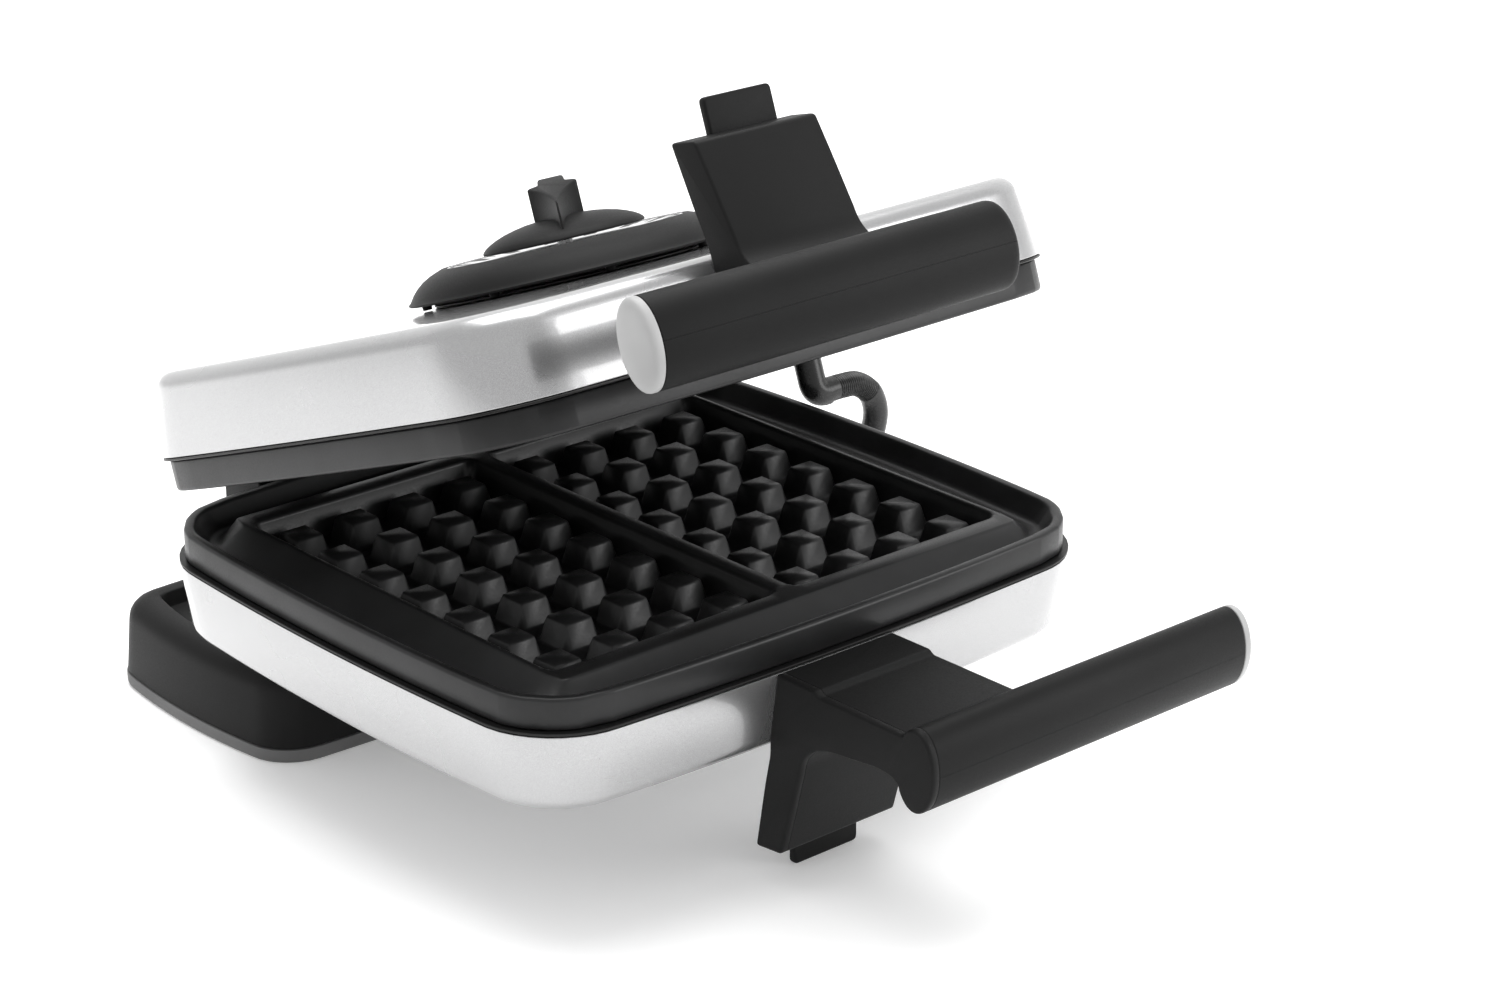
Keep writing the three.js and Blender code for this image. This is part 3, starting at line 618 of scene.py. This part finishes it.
def plate(name):
    """Cast plate: mould cavities with pyramids, raised border, gutter, rim and heater side."""
    xs = grid_lines(COLUMNS, CAVITY_X, LIP_X, (-CAVITY_MIDDLE, CAVITY_MIDDLE))
    ys = grid_lines(ROWS, CAVITY_Y, LIP_Y, (0,))
    shape = Shape()
    grid = [shape.ring([(x, y, mould_depth(x, y)) for x in xs]) for y in ys]
    for low, high in zip(grid, grid[1:]):
        shape.faces += [(low[i], low[i + 1], high[i + 1], high[i]) for i in range(len(xs) - 1)]
    border = grid[-1][:0:-1] + [row[0] for row in grid[:0:-1]]
    border += grid[0][:-1] + [row[-1] for row in grid[:-1]]
    round_x, round_y = LIP_X - LIP_CORNER, LIP_Y - LIP_CORNER
    for index in border:
        point = shape.points[index]
        out = Vector((abs(point.x) - round_x, abs(point.y) - round_y))
        if out.x > 0 and out.y > 0:
            out = out.normalized() * LIP_CORNER
            point.x = math.copysign(round_x + out.x, point.x)
            point.y = math.copysign(round_y + out.y, point.y)
        point.z = LIP_DEPTH
    marks = ([(x + LIP_X) / (2 * LIP_X) for x in xs[:-1]], [(y + LIP_Y) / (2 * LIP_Y) for y in ys[:-1]])
    lip = {"x": LIP_X, "y": LIP_Y, "bow_x": 0, "bow_y": 0, "corner": LIP_CORNER}
    profile = [(lip, 0.7, 1.45), (lip, 1.3, 2.2), (RIM, -13.6, 7.7), (RIM, -12.2, 8.5), (RIM, -10, 8.7)]
    profile += [(RIM, -8.4, 8.1), (RIM, -7.4, 6.9), (RIM, -4.4, 1.5), (RIM, -3.9, 0.7), (RIM, -3.2, 0.25)]
    profile += [(RIM, -1.4, 0.2), (RIM, -0.6, 0.4), (RIM, -0.15, 0.9), (RIM, 0, 1.7)]
    profile += [(RIM, 0, RIM_DEPTH - 0.7), (RIM, -0.25, RIM_DEPTH - 0.2), (RIM, -0.8, RIM_DEPTH)]
    profile += [(RIM, -7, RIM_DEPTH), (RIM, -7, PLATE_DEPTH - 0.6), (RIM, -7.6, PLATE_DEPTH)]
    ring = border
    for form, offset, level in profile:
        following = shape.ring(at_level(outline(form, offset, marks), level))
        shape.bridge(ring, following)
        ring = following
    shape.faces.append(tuple(ring))
    return build(name, shape)


def brush_wall(piece):
    """Gives the rim's outer wall its brushed finish."""
    piece.data.materials.append(BRUSHED)
    edge_x, edge_y = (RIM["x"] - 14) * MM, (RIM["y"] - 14) * MM
    for face in piece.data.polygons:
        upright = abs(face.normal.z) < 0.5 and abs(face.center.z) < (RIM_DEPTH + 0.5) * MM
        outwards = face.normal.x * face.center.x + face.normal.y * face.center.y > 0
        if upright and outwards and (abs(face.center.x) > edge_x or abs(face.center.y) > edge_y):
            face.material_index = 1


# ---- housings --------------------------------------------------------------------------------------
def housing_outside(grow=0.0):
    """Profile of a housing's outside, from its lip to its flat face."""
    shoulder = 7.4
    profile = [(HOUSING_OUT + grow, HOUSING_TOP + 0.5), (DRAFT + 0.2 + grow, HOUSING_DEPTH - shoulder - 1)]
    bend = arc((DRAFT - shoulder, HOUSING_DEPTH - shoulder), shoulder + grow, 4, 90, 10)
    return profile + bend


def housing_space(grow=0.15):
    """The room that a housing and all inside it take."""
    profile = housing_outside(grow)
    return stack(RIM, [(profile[0][0], HOUSING_TOP - grow)] + profile + [(-8.5, HOUSING_DEPTH + grow)])


def housing(name, hole):
    """Pressed housing with a round-edged face, closed or with a hole for the dial's shaft."""
    outside = [(HOUSING_OUT - 0.45, HOUSING_TOP), (HOUSING_OUT - 0.1, HOUSING_TOP + 0.12)]
    outside += housing_outside() + [(-20, HOUSING_DEPTH)]
    inside = [(HOUSING_OUT - WALL + 0.1, HOUSING_TOP), (DRAFT + 0.1 - WALL, HOUSING_DEPTH - 8)]
    inside += arc((DRAFT - 7.6, HOUSING_DEPTH - 7.6), 7.6 - WALL, 4, 90, 6)
    inside.append((-20, HOUSING_DEPTH - WALL))
    rings = [at_level(outline(RIM, offset), level) for offset, level in inside[::-1] + outside]
    if not hole:
        return build(name, loft(rings))
    bore = [Vector((p.x, p.y + DIAL_Y)) for p in circle(SHAFT_HOLE)]
    inner_mouth, outer_mouth = at_level(bore, HOUSING_DEPTH - WALL), at_level(bore, HOUSING_DEPTH)
    return build(name, loft([inner_mouth] + rings + [outer_mouth], closed=True))


def trim_ring(name):
    """Thin black ring between the plate's rim and the housing's lip."""
    near, far, inner, outer = RIM_DEPTH + GAP, HOUSING_TOP - GAP, -3.4, HOUSING_OUT
    edge = 0.25
    profile = [(inner, near), (outer - edge, near), (outer, near + edge), (outer, far - edge)]
    profile += [(outer - edge, far), (inner, far)]
    return build(name, stack(RIM, profile, closed=True))


# ---- brackets and grips ----------------------------------------------------------------------------
def oval(shrink=0.0, count=64):
    """The grip's section in (y, depth)."""
    wide, tall = GRIP_THICK / 2 - shrink, GRIP_TALL / 2 - shrink
    turn = [2 * math.pi * i / count for i in range(count)]
    return [Vector((GRIP_Y + wide * math.cos(a), GRIP_DEPTH + tall * math.sin(a))) for a in turn]


def head(shrink, top, bottom):
    """The bracket's end in side view, round the oval from the arm's top to its underside. top and bottom
    are the angles in degrees at which the arm meets the oval."""
    wide, tall = GRIP_THICK / 2 - shrink, GRIP_TALL / 2 - shrink
    steps = 36
    angles = [math.radians(top + (360 - bottom - top) * i / steps) for i in range(steps + 1)]
    return [Vector((GRIP_Y + wide * math.cos(a), GRIP_DEPTH - tall * math.sin(a))) for a in angles]


def bracket_profile(flange):
    """Side view of leg, arm and head in (y, depth). The flange's head is as large as the grip."""
    if flange:
        ends = head(0, 56, 38)
        top = bezier((-187.6, ARM_TOP), (-190.2, ARM_TOP + 0.3), ends[0], 5)
        bottom = bezier(ends[-1], (-187.5, 32.4), (-176, 32.6), 8)
    else:
        ends = head(GRIP_WALL + GAP, 69, 24)
        top = [Vector((-186.2, ARM_TOP)).lerp(ends[0], i / 5) for i in range(6)]
        bottom = [ends[-1].lerp(Vector((-176, 33.1)), i / 8) for i in range(9)]
    profile = [((-127.6, LEG_DEPTH - 1.2), 1.6), ((-114, LEG_DEPTH), 1.8), ((-118.6, 60), 5)]
    profile += [((-121.4, 47), 2), ((-121.4, 14), 1.6), ((-145.2, 14), 0.8), ((-147.4, ARM_TOP), 1.2)]
    curves = top + ends[1:-1] + bottom + bezier((-157, 34.6), (-138.8, 36), (-137, 50), 14)
    return soften(profile + [(point, 0) for point in curves] + [((-131.8, 70), 3)])


def bracket(name, grip, flange):
    """Moulded leg and arm with the grip's tang and, on the lower half, a flange that ends the grip."""
    edge = 1.1
    thin = bracket_profile(False)
    first = bracket_profile(True) if flange else thin
    levels = [(BRACKET_X0 + edge * reach, first, edge * depth) for reach, depth in ROUNDING]
    if flange:
        levels += [(FLANGE_X1 - 0.2, first, 0), (FLANGE_X1, first, 0.15), (FLANGE_X1, thin, 0)]
    levels += [(BRACKET_X1 - edge * reach, thin, edge * depth) for reach, depth in reversed(ROUNDING)]
    body = loft([[to_x(p.x, p.y, x) for p in inset(form, depth)] for x, form, depth in levels])
    piece = build(name, body)
    tab = [((TAB_X0, LEG_DEPTH - 6), 0), ((TAB_X1, LEG_DEPTH - 6), 0), ((TAB_X1, PARTING_Z), 2.2)]
    tab.append(((TAB_X0, PARTING_Z), 2.2))
    combine(piece, prism(soften(tab), TAB_Y0, TAB_Y1, 0.9, to_y), "UNION")
    start, end = sorted((grip["tang"], grip["end"]))
    combine(piece, prism(oval(GRIP_WALL + GAP + 0.1, 40), start, end, 0.5, to_x), "UNION")
    return combine(piece, housing_space(), "DIFFERENCE")


def oval_bar(levels, shrink=0.0, count=64):
    """A bar with the grip's section, at [(x, scale), ...]."""
    middle = Vector((GRIP_Y, GRIP_DEPTH))
    section = oval(shrink, count)
    return loft([[to_x(*(middle + (p - middle) * scale), x) for p in section] for x, scale in levels])


def grip_shell(name, grip, far, flange):
    """One moulded half of the grip's sleeve, with a slot where the arm enters."""
    start, end = grip["start"], grip["end"]
    inwards = math.copysign(1, end - start)
    if flange:
        begin = [(-0.15, 0.985), (0, 0.995), (0.3, 1)]
    else:
        begin = [(0, 0.74), (0.25, 0.81), (0.7, 0.87), (1.4, 0.92), (2.4, 0.96), (3.6, 0.985), (5.2, 1)]
    finish = [(0.35, 1), (0.12, 0.992), (0, 0.98)]
    levels = [(start + inwards * reach, scale) for reach, scale in begin]
    levels += [(end - inwards * reach, scale) for reach, scale in finish]
    piece = build(name, oval_bar(levels))
    hollow = [(grip["hollow"] + inwards * 0.01, 1), (end + inwards * 5, 1)]
    combine(piece, oval_bar(hollow, GRIP_WALL, 48), "DIFFERENCE")
    slot = [((GRIP_Y + 2, ARM_TOP - 0.2), 0), ((GRIP_Y + 30, ARM_TOP - 0.2), 0)]
    slot += [((GRIP_Y + 30, ARM_BOTTOM + 2.2), 0), ((GRIP_Y + 2, ARM_BOTTOM + 0.3), 0)]
    combine(piece, prism(soften(slot), BRACKET_X0 - 0.2, BRACKET_X1 + 0.2, 0.05, to_x), "DIFFERENCE")
    near, beyond = (GRIP_DEPTH + 0.04, -40) if far else (GRIP_DEPTH - 0.04, 40)
    back, front = GRIP_Y - 40, GRIP_Y + 40
    other = [(back, near), (front, near), (front, near + beyond), (back, near + beyond)]
    block = loft([[to_x(a, b, x) for a, b in other] for x in (-200, 200)])
    return combine(piece, block, "DIFFERENCE")


def grip_cap(name, grip):
    """Pale, slightly domed end cap."""
    outwards = math.copysign(1, grip["end"])
    dome = [(0.3, 0.985), (0.45, 0.998), (0.7, 1), (2.2, 1), (3.0, 0.985), (3.6, 0.955), (4.05, 0.91)]
    dome += [(4.35, 0.85), (4.55, 0.76), (4.68, 0.62), (4.75, 0.45), (CAP_LENGTH, 0.2)]
    return build(name, oval_bar([(grip["end"] + outwards * reach, scale) for reach, scale in dome]))


# ---- both halves -----------------------------------------------------------------------------------
def add_half(half, place, body):
    """Plate, housing, trim ring, bracket and grip of the lower half or the lid."""
    lower = half == "lower"
    grip = GRIPS[half]

    def put(piece, look, slot, *nodes, sharp=38):
        names = [f"{half}_{node}" for node in nodes]
        return settle(piece, look, place, body, names, mirror=lower, sharp=sharp)

    face = put(plate(f"{half}_cast_plate"), COATING, "non_stick_plate", "plate", sharp=50)
    brush_wall(face)
    put(housing(f"{half}_pressed_housing", not lower), LACQUER, "satin_housing", "housing")
    put(trim_ring(f"{half}_rim_trim"), TRIM_BLACK, "black_plastic", "trim_ring")
    put(bracket(f"{half}_bracket_and_leg", grip, lower), BLACK, "black_plastic", "leg_bracket")
    for node, far in (("grip_inner_shell", False), ("grip_outer_shell", True)):
        put(grip_shell(f"{half}_{node}_moulded", grip, far, lower), BLACK, "black_plastic", node)
    put(grip_cap(f"{half}_grip_end_cap", grip), PALE, "pale_grey_plastic", "grip_cap", sharp=60)


# ---- rear base -------------------------------------------------------------------------------------
def base_shell(name):
    """Base shell: drafted wall, round shoulder and a recessed top for the hinge posts."""
    shoulder = 8.2
    foot = BASE_TRIM + GAP
    profile = [(-5, CEILING_Z), (-3, foot), (-0.5, foot), (-0.1, foot + 0.15), (0, foot + 0.6)]
    profile.append((-1.7, BASE_TOP - shoulder - 0.6))
    profile += arc((-1.8 - shoulder, BASE_TOP - shoulder), shoulder, 6, 90, 9)
    profile += [(-13, BASE_TOP), (-13.6, BASE_TOP - 0.15), (-14, BASE_TOP - 0.6)]
    profile += [(-15, RECESS_Z + 1.2), (-15.5, RECESS_Z + 0.3), (-16.6, RECESS_Z), (-24, RECESS_Z)]
    return build(name, stack(BASE, profile))


def base_trim(name):
    """Grey band round the base's foot."""
    profile = [(-3.4, 0), (-1.2, 0), (-0.5, 0.2), (0.1, 0.8), (0.4, 1.8), (0.5, 3), (0.5, BASE_TRIM - 0.5)]
    profile += [(0.35, BASE_TRIM - 0.12), (0, BASE_TRIM), (-3.4, BASE_TRIM)]
    return build(name, stack(BASE, profile, closed=True))


def bottom_plate(name):
    """Plate that closes the base from below."""
    profile = [(-4.4, 0), (-3.9, 0.15), (-3.8, 0.6), (-3.8, 2.2), (-4.1, 2.5)]
    return build(name, stack(BASE, profile))


def hinge_post(name, side):
    """Post from the base's recess to the hinge, with a round head, clear of the lower housing."""
    hinge_y = HINGE.y / MM
    foot = RECESS_Z + GAP
    head_round = arc((hinge_y, PARTING_Z), 12, 180, 0, 20)
    profile = [((-13, foot), 1.4), ((-13, PARTING_Z - 15), 2.5), ((-6, PARTING_Z - 11), 2.5)]
    profile += [(point, 0) for point in head_round] + [((21, foot), 1.4)]
    middle = side * POST_X
    body = prism(soften(profile), middle - POST_WIDE / 2, middle + POST_WIDE / 2, 1.2, to_x)
    space = housing_space(0.2)
    for point in space.points:
        point.y, point.z = point.y + PLATE_Y, PARTING_Z - point.z
    return combine(build(name, body), space, "DIFFERENCE")


def hinge_pin(name, side):
    """Steel pin from the arm's inner side into the post, with a domed head."""
    inner = ARM_X - ARM_WIDE / 2 - GAP
    outer = POST_X + POST_WIDE / 2 - 1
    rod, cap = PIN_RADIUS, PIN_RADIUS + 3
    profile = [(0, outer), (rod - 0.5, outer), (rod, outer - 0.5), (rod, inner), (cap, inner)]
    profile += [(cap, inner - 1), (cap - 0.6, inner - 1.8), (cap - 2, inner - 2.3), (0, inner - 2.5)]
    shape = lathe(profile, 48, lambda x, y, z: (side * z, x + HINGE.y / MM, y + PARTING_Z))
    return build(name, shape)


def gland(name, profile, place, axes):
    """A turned bush in the base's wall."""
    shape = lathe(profile, 48, axes)
    for point in shape.points:
        point += Vector(place)
    return build(name, shape)


def conduit(name):
    """Ribbed hose from the base to the lid's boot, with smooth cuffs and a smooth elbow."""
    fine = catmull(CONDUIT_ROUTE, 24)
    length = sum((b - a).length for a, b in zip(fine, fine[1:]))
    cuff, per_rib = 4, 5
    count = round(length / RIB_PITCH) * per_rib
    path = along(fine, [i / count for i in range(count + 1)])
    radii = []
    for i in range(count + 1):
        smooth = min(i, count - i) / count * length < cuff or ELBOW[0] < i / count < ELBOW[1]
        rib = 0.5 - 0.5 * math.cos(2 * math.pi * i / per_rib)
        radii.append(CONDUIT_RADIUS - (0.05 if smooth else 0.6 - 0.55 * rib))
    return build(name, tube(path, radii))


def lid_arm(name, side):
    """Arm from the lid's rear wall to its knuckle on the hinge pin."""
    x0, x1 = side * ARM_X - ARM_WIDE / 2, side * ARM_X + ARM_WIDE / 2
    web = [((118, 17.5), 0), ((127, 13), 1.5), ((134, 3), 2), ((140, -5), 2), ((154, 3), 2), ((132, 38), 3)]
    web.append(((118, 38), 0))
    piece = build(name, prism(soften(web), x0, x1, 1, to_x))
    knuckle = [Vector(point) for point in arc((HINGE_BEHIND, 0), KNUCKLE, 0, 350, 35)]
    combine(piece, prism(knuckle, x0 - 0.01, x1 + 0.01, 1, to_x), "UNION")
    return combine(piece, housing_space(0.2), "DIFFERENCE")


def conduit_boot(name):
    """Rubber boot: a flange on the lid's wall, a bend down beside the plates and a spout to the hose."""
    spine = [((BOOT_START, BOOT_Y, BOOT_TOP), 0), ((BOOT_X, BOOT_Y, BOOT_TOP), 9)]
    spine += [((BOOT_X, BOOT_Y, BOOT_BOTTOM), 5.5), ((BOOT_END, BOOT_Y, BOOT_BOTTOM), 0)]
    steps, ribs = 90, 9
    shares = [i / steps for i in range(steps + 1)]
    radii = []
    for share in shares:
        wave = 0.35 * math.cos(share * 2 * math.pi * ribs) if 0.3 < share < 0.72 else 0
        radii.append(6.9 - 0.9 * min(1, share * 1.3) + wave * (1 - abs(share - 0.5) * 3))
    piece = build(name, tube(along(soften(spine, 12), shares), radii, 36))
    flange = [(0, BOOT_START), (9.5, BOOT_START), (9.5, 143.2), (8.8, 144.3), (7.4, 144.9), (0, 144.9)]
    turned = lathe(flange, 48, lambda x, y, z: (z, x + BOOT_Y, y + BOOT_TOP))
    combine(piece, turned, "UNION")
    return combine(piece, housing_space(0.2), "DIFFERENCE")


# ---- dial ------------------------------------------------------------------------------------------
def heat_disc(name):
    """Thin heat shield between the housing and the dome."""
    low, high = HOUSING_DEPTH + GAP, HOUSING_DEPTH + GAP + DISC_THICK
    outer = DISC_RADIUS
    profile = [(SHAFT_HOLE, low), (outer - 0.2, low), (outer, low + 0.2), (outer, high - 0.2)]
    return build(name, lathe(profile + [(outer - 0.2, high), (SHAFT_HOLE, high)], 128))


def dial_dome(name):
    """Black dome on small feet, with a recess in its top for the dial ring."""
    outer, rim, low, high, floor = DOME_RADIUS, DOME_RIM, DOME_LOW, DOME_HIGH, DOME_FLOOR
    crown = [(outer, low + 0.9), (outer - 0.5, low + 1.3), (outer - 0.9, low + 1.7)]
    crown += [(outer - 1.4, low + 2.4), (outer - 2.6, low + 4.1), (outer - 4.6, low + 6.2)]
    crown += [(outer - 7.2, low + 8.2), (outer - 10.2, low + 9.8), (outer - 12.6, low + 10.7)]
    crown += [(rim + 1.2, high - 0.3), (rim + 0.4, high)]
    profile = [(SHAFT_HOLE, floor - 2.4), (rim - 2, floor - 2.4), (rim + 5, floor - 4.6)]
    profile += [(outer - 3.5, low), (outer - 0.4, low), (outer, low + 0.35)] + crown
    profile += [(rim - 0.6, high - 0.05), (rim - 1.2, high - 0.5), (rim - 1.5, floor), (SHAFT_HOLE, floor)]
    piece = build(name, lathe(profile, 128))
    feet = Shape()
    start = HOUSING_DEPTH + GAP
    for i in range(DOME_FEET):
        angle = 2 * math.pi * (i + 0.5) / DOME_FEET
        foot = lathe([(0, start), (1.5, start), (1.8, start + 0.3), (2, low + 1.2), (0, low + 1.2)], 20)
        for point in foot.points:
            point += Vector((math.cos(angle), math.sin(angle), 0)) * (outer - 5.5)
        feet.add(foot)
    return combine(piece, feet, "UNION")


def dial_plate(name):
    """Silver ring, slightly dished, with plain graduations."""
    low, high = DOME_FLOOR + GAP, DOME_FLOOR + 1.7
    levels = [(SHAFT_HOLE, low), (DOME_RIM - 2, low), (DOME_RIM - 2, high - 0.15), (DOME_RIM - 2.2, high)]
    levels += [(radius, high - (DOME_RIM - 2.2 - radius) * 0.1) for radius in (45, 43.4, 40, 36.5, 34.5)]
    levels.append((SHAFT_HOLE, DOME_FLOOR + 0.5))
    return build(name, lathe(levels, TICK_STEPS))


def print_ticks(piece):
    """Inks a scale of blocks, short lines and an outer line over three quarters of the dial ring."""
    piece.data.materials.append(INK)
    dial_frame = DIAL_PLACE.inverted()
    for face in piece.data.polygons:
        middle = dial_frame @ face.center / MM
        radius = math.hypot(middle.x, middle.y)
        step = round(math.degrees(math.atan2(middle.x, middle.y)) / 2 - 0.5)
        underside, outside_scale = middle.z < DOME_FLOOR + 0.3, abs(step) > 68
        if underside or outside_scale:
            continue
        short = step % 4 == 0 and 40 < radius < 43.4
        block = step % 12 < 4 and 36.5 < radius < 43.4
        if short or block or 43.4 < radius < 45:
            face.material_index = 1


def fin_plan(scale):
    """Arrow-shaped plan of the knob's fin, with hollow flanks and a narrower tail."""
    def flank(sign):
        curve = bezier((0.4, -20.5 * scale), (2.4, -6), (9.6, 2.2), 12)
        curve += [Vector((9.6, 3.2)), Vector((9.1, 4)), Vector((6, 5.6)), Vector((5.4, 6.4))]
        curve += [Vector((5.1, 12 * scale)), Vector((4.7, 12.8 * scale)), Vector((3.9, 13.1 * scale))]
        return [Vector((sign * p.x, p.y)) for p in curve]
    return flank(1) + flank(-1)[::-1]


def fin_rings(foot):
    """The fin's rings from its foot to a sloping top with a small round edge."""
    slope, edge, rise = math.tan(0.27), 0.7, 25.3
    below_top = {0: edge, 0.3: 0.2, edge: 0}
    rings = []
    for share, depth in ((0, 0), (0.35, 0), (0.7, 0), (1, 0), (1, 0.3), (1, edge)):
        ring = []
        for wide, p in zip(inset(fin_plan(1.4), depth), inset(fin_plan(1.0), depth)):
            top = FIN_TOP + slope * (p.y - 5) - below_top[depth]
            level = foot + (top - foot) * share
            place = wide.lerp(p, (level - foot) / rise)
            ring.append((place.x, place.y, level))
        rings.append(ring)
    return rings


def knob(name):
    """Shallow domed cap with a tall pointer fin."""
    radius, low, high = KNOB_RADIUS, KNOB_LOW, KNOB_HIGH
    profile = [(0, low), (radius - 0.7, low), (radius - 0.15, low + 0.25), (radius, low + 0.8)]
    profile += [(radius - 0.5, low + 1.6), (radius - 1.6, low + 2.6), (radius - 3.4, low + 3.7)]
    profile += [(radius - 6, low + 4.9), (radius - 9.4, low + 6.1), (radius - 13.5, low + 7.1)]
    profile += [(radius - 18, low + 7.9), (radius - 24, low + 8.4), (0, high)]
    piece = build(name, lathe(profile, 128))
    fin = loft(fin_rings(low + 1))
    turn = Matrix.Rotation(math.radians(KNOB_TURN), 4, "Z")
    fin.points = [turn @ p for p in fin.points]
    return combine(piece, fin, "UNION")


# ---- everything ------------------------------------------------------------------------------------
def add_base():
    """Rear base with its hinge posts, pins and glands."""
    def put(piece, look, slot, *nodes, sharp=38):
        return settle(piece, look, BASE_PLACE, "base", nodes, sharp=sharp)

    put(base_shell("base_moulded_shell"), BLACK, "black_plastic", "base_shell")
    put(base_trim("base_foot_band"), GREY, "grey_plastic", "base_trim")
    put(bottom_plate("base_closing_plate"), DARK_GREY, "dark_grey_plastic", "base_bottom_plate")
    for word, side in (("left", -1), ("right", 1)):
        put(hinge_post(f"hinge_post_{word}_moulded", side), BLACK, "black_plastic", f"hinge_post_{word}")
        put(hinge_pin(f"hinge_pin_{word}_turned", side), STEEL, "screw_steel", f"hinge_pin_{word}")
    bush = [(3.8, 54), (6.7, 54), (6.7, 63.2), (8.1, 63.2), (8.5, 63.6), (8.2, 64.8), (7.2, 65.4)]
    bush += [(4.6, 65.4), (3.8, 64.6)]
    cord = gland("cord_gland_moulded", bush, (CORD_X, 0, CORD_Z), lambda x, y, z: (x, z, y))
    put(cord, RUBBER, "black_rubber", "cord_gland")
    _, route_y, route_z = CONDUIT_ROUTE[0]
    collar = [(0, 106), (5.4, 106), (5.4, 117), (8, 117), (8, 118.8), (7.4, 119.4), (7.2, 119.6)]
    collar += [(7.2, 123.8), (6.6, 124.4), (0, 124.4)]
    hose_gland = gland("conduit_gland_moulded", collar, (0, route_y, route_z), lambda x, y, z: (z, x, y))
    put(hose_gland, BLACK, "black_plastic", "conduit_gland")


def add_conduit():
    """The hose, bent between the base and the lid."""
    piece = conduit("conduit_ribbed_hose")
    piece.data.polygons.foreach_set("use_smooth", [True] * len(piece.data.polygons))
    piece.data.materials.append(RUBBER)
    keep_local(piece)
    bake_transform(piece)
    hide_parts("conduit")


def add_lid_fittings():
    """Hinge arms, boot and dial, which all ride on the lid, and the knob."""
    def put(piece, look, slot, place, *nodes, body="lid", sharp=38):
        return settle(piece, look, place, body, nodes, sharp=sharp)

    for word, side in (("left", -1), ("right", 1)):
        arm = lid_arm(f"lid_arm_{word}_moulded", side)
        put(arm, BLACK, "black_plastic", LID_PLACE, f"lid_hinge_arm_{word}")
    put(conduit_boot("conduit_boot_moulded"), RUBBER, "black_rubber", LID_PLACE, "conduit_boot", sharp=60)
    put(heat_disc("heat_shield_disc"), DARK_GREY, "dark_grey_plastic", DIAL_PLACE, "heat_disc")
    put(dial_dome("dial_dome_moulded"), BLACK, "black_plastic", DIAL_PLACE, "dial_dome")
    ring = put(dial_plate("dial_ring"), DIAL_SILVER, "dial_silver", DIAL_PLACE, "dial_plate")
    print_ticks(ring)
    turned_knob = knob("thermostat_knob_moulded")
    put(turned_knob, BLACK, "black_plastic", DIAL_PLACE, "thermostat_knob", body="dial", sharp=32)


def finish_hidden_nodes():
    """Gives the CAD nodes that stay their own finish."""
    looks = {
        "screw": STEEL_PARTS, "shaft": STEEL_PARTS, "element": ELEMENT, "reflector": ALUMINIUM,
        "thermostat_body": ALUMINIUM, "terminal_block": CERAMIC,
    }
    for name, node in frame["nodes"].items():
        for word, look in looks.items():
            if word in name:
                node.data.materials.clear()
                node.data.materials.append(look)


def add_floor():
    """Pale floor that curves up behind, square to the camera."""
    floor = Shape()
    sweep = [(-6000, 0), (3000, 0)] + arc((3000, 2000), 2000, -90, 0, 24) + [(5000, 6000)]
    rows = [floor.ring([(side * 8000, y, z) for side in (-1, 1)]) for y, z in sweep]
    floor.faces = [(a[0], a[1], b[1], b[0]) for a, b in zip(rows, rows[1:])]
    backdrop = build("studio_floor", floor)
    backdrop.data.polygons.foreach_set("use_smooth", [True] * len(backdrop.data.polygons))
    backdrop.rotation_euler.z = -CAMERA_AZIMUTH
    look = Look("studio_white", local=False, Roughness=0.8, Emission_Strength=0.18)
    look.drive("Emission Color", look.colours(look.noise(1.5), (0.3, grey(0.98)), (0.7, grey(1))))
    look.drive("Base Color", look.colours(look.noise(1.5), (0.3, grey(0.93)), (0.7, grey(0.95))))
    backdrop.data.materials.append(look.material)


def add_light():
    """An even white surround with a soft light overhead and another in front."""
    world = bpy.data.worlds.new("studio")
    bpy.context.scene.world = world
    world.use_nodes = True
    background = world.node_tree.nodes["Background"]
    background.inputs["Color"].default_value = (1, 1, 1, 1)
    background.inputs["Strength"].default_value = 0.85

    aim = Vector((0, PLATE_Y * MM, 0.1))
    lights = (("overhead", (0.15, 0.1, 1.6), 1.5, 30), ("front", (1.3, -1.7, 0.8), 1.0, 16))
    for name, place, size, power in lights:
        data = bpy.data.lights.new(name, "AREA")
        data.size, data.energy = size, power
        light = bpy.data.objects.new(name, data)
        light.location = place
        light.rotation_euler = (light.location - aim).to_track_quat("Z", "Y").to_euler()
        bpy.context.collection.objects.link(light)
    bpy.context.scene.view_settings.view_transform = "Standard"


add_conduit()
add_half("lower", LOWER_PLACE, "base")
add_half("lid", LID_PLACE, "lid")
add_base()
add_lid_fittings()
finish_hidden_nodes()
add_floor()
add_light()
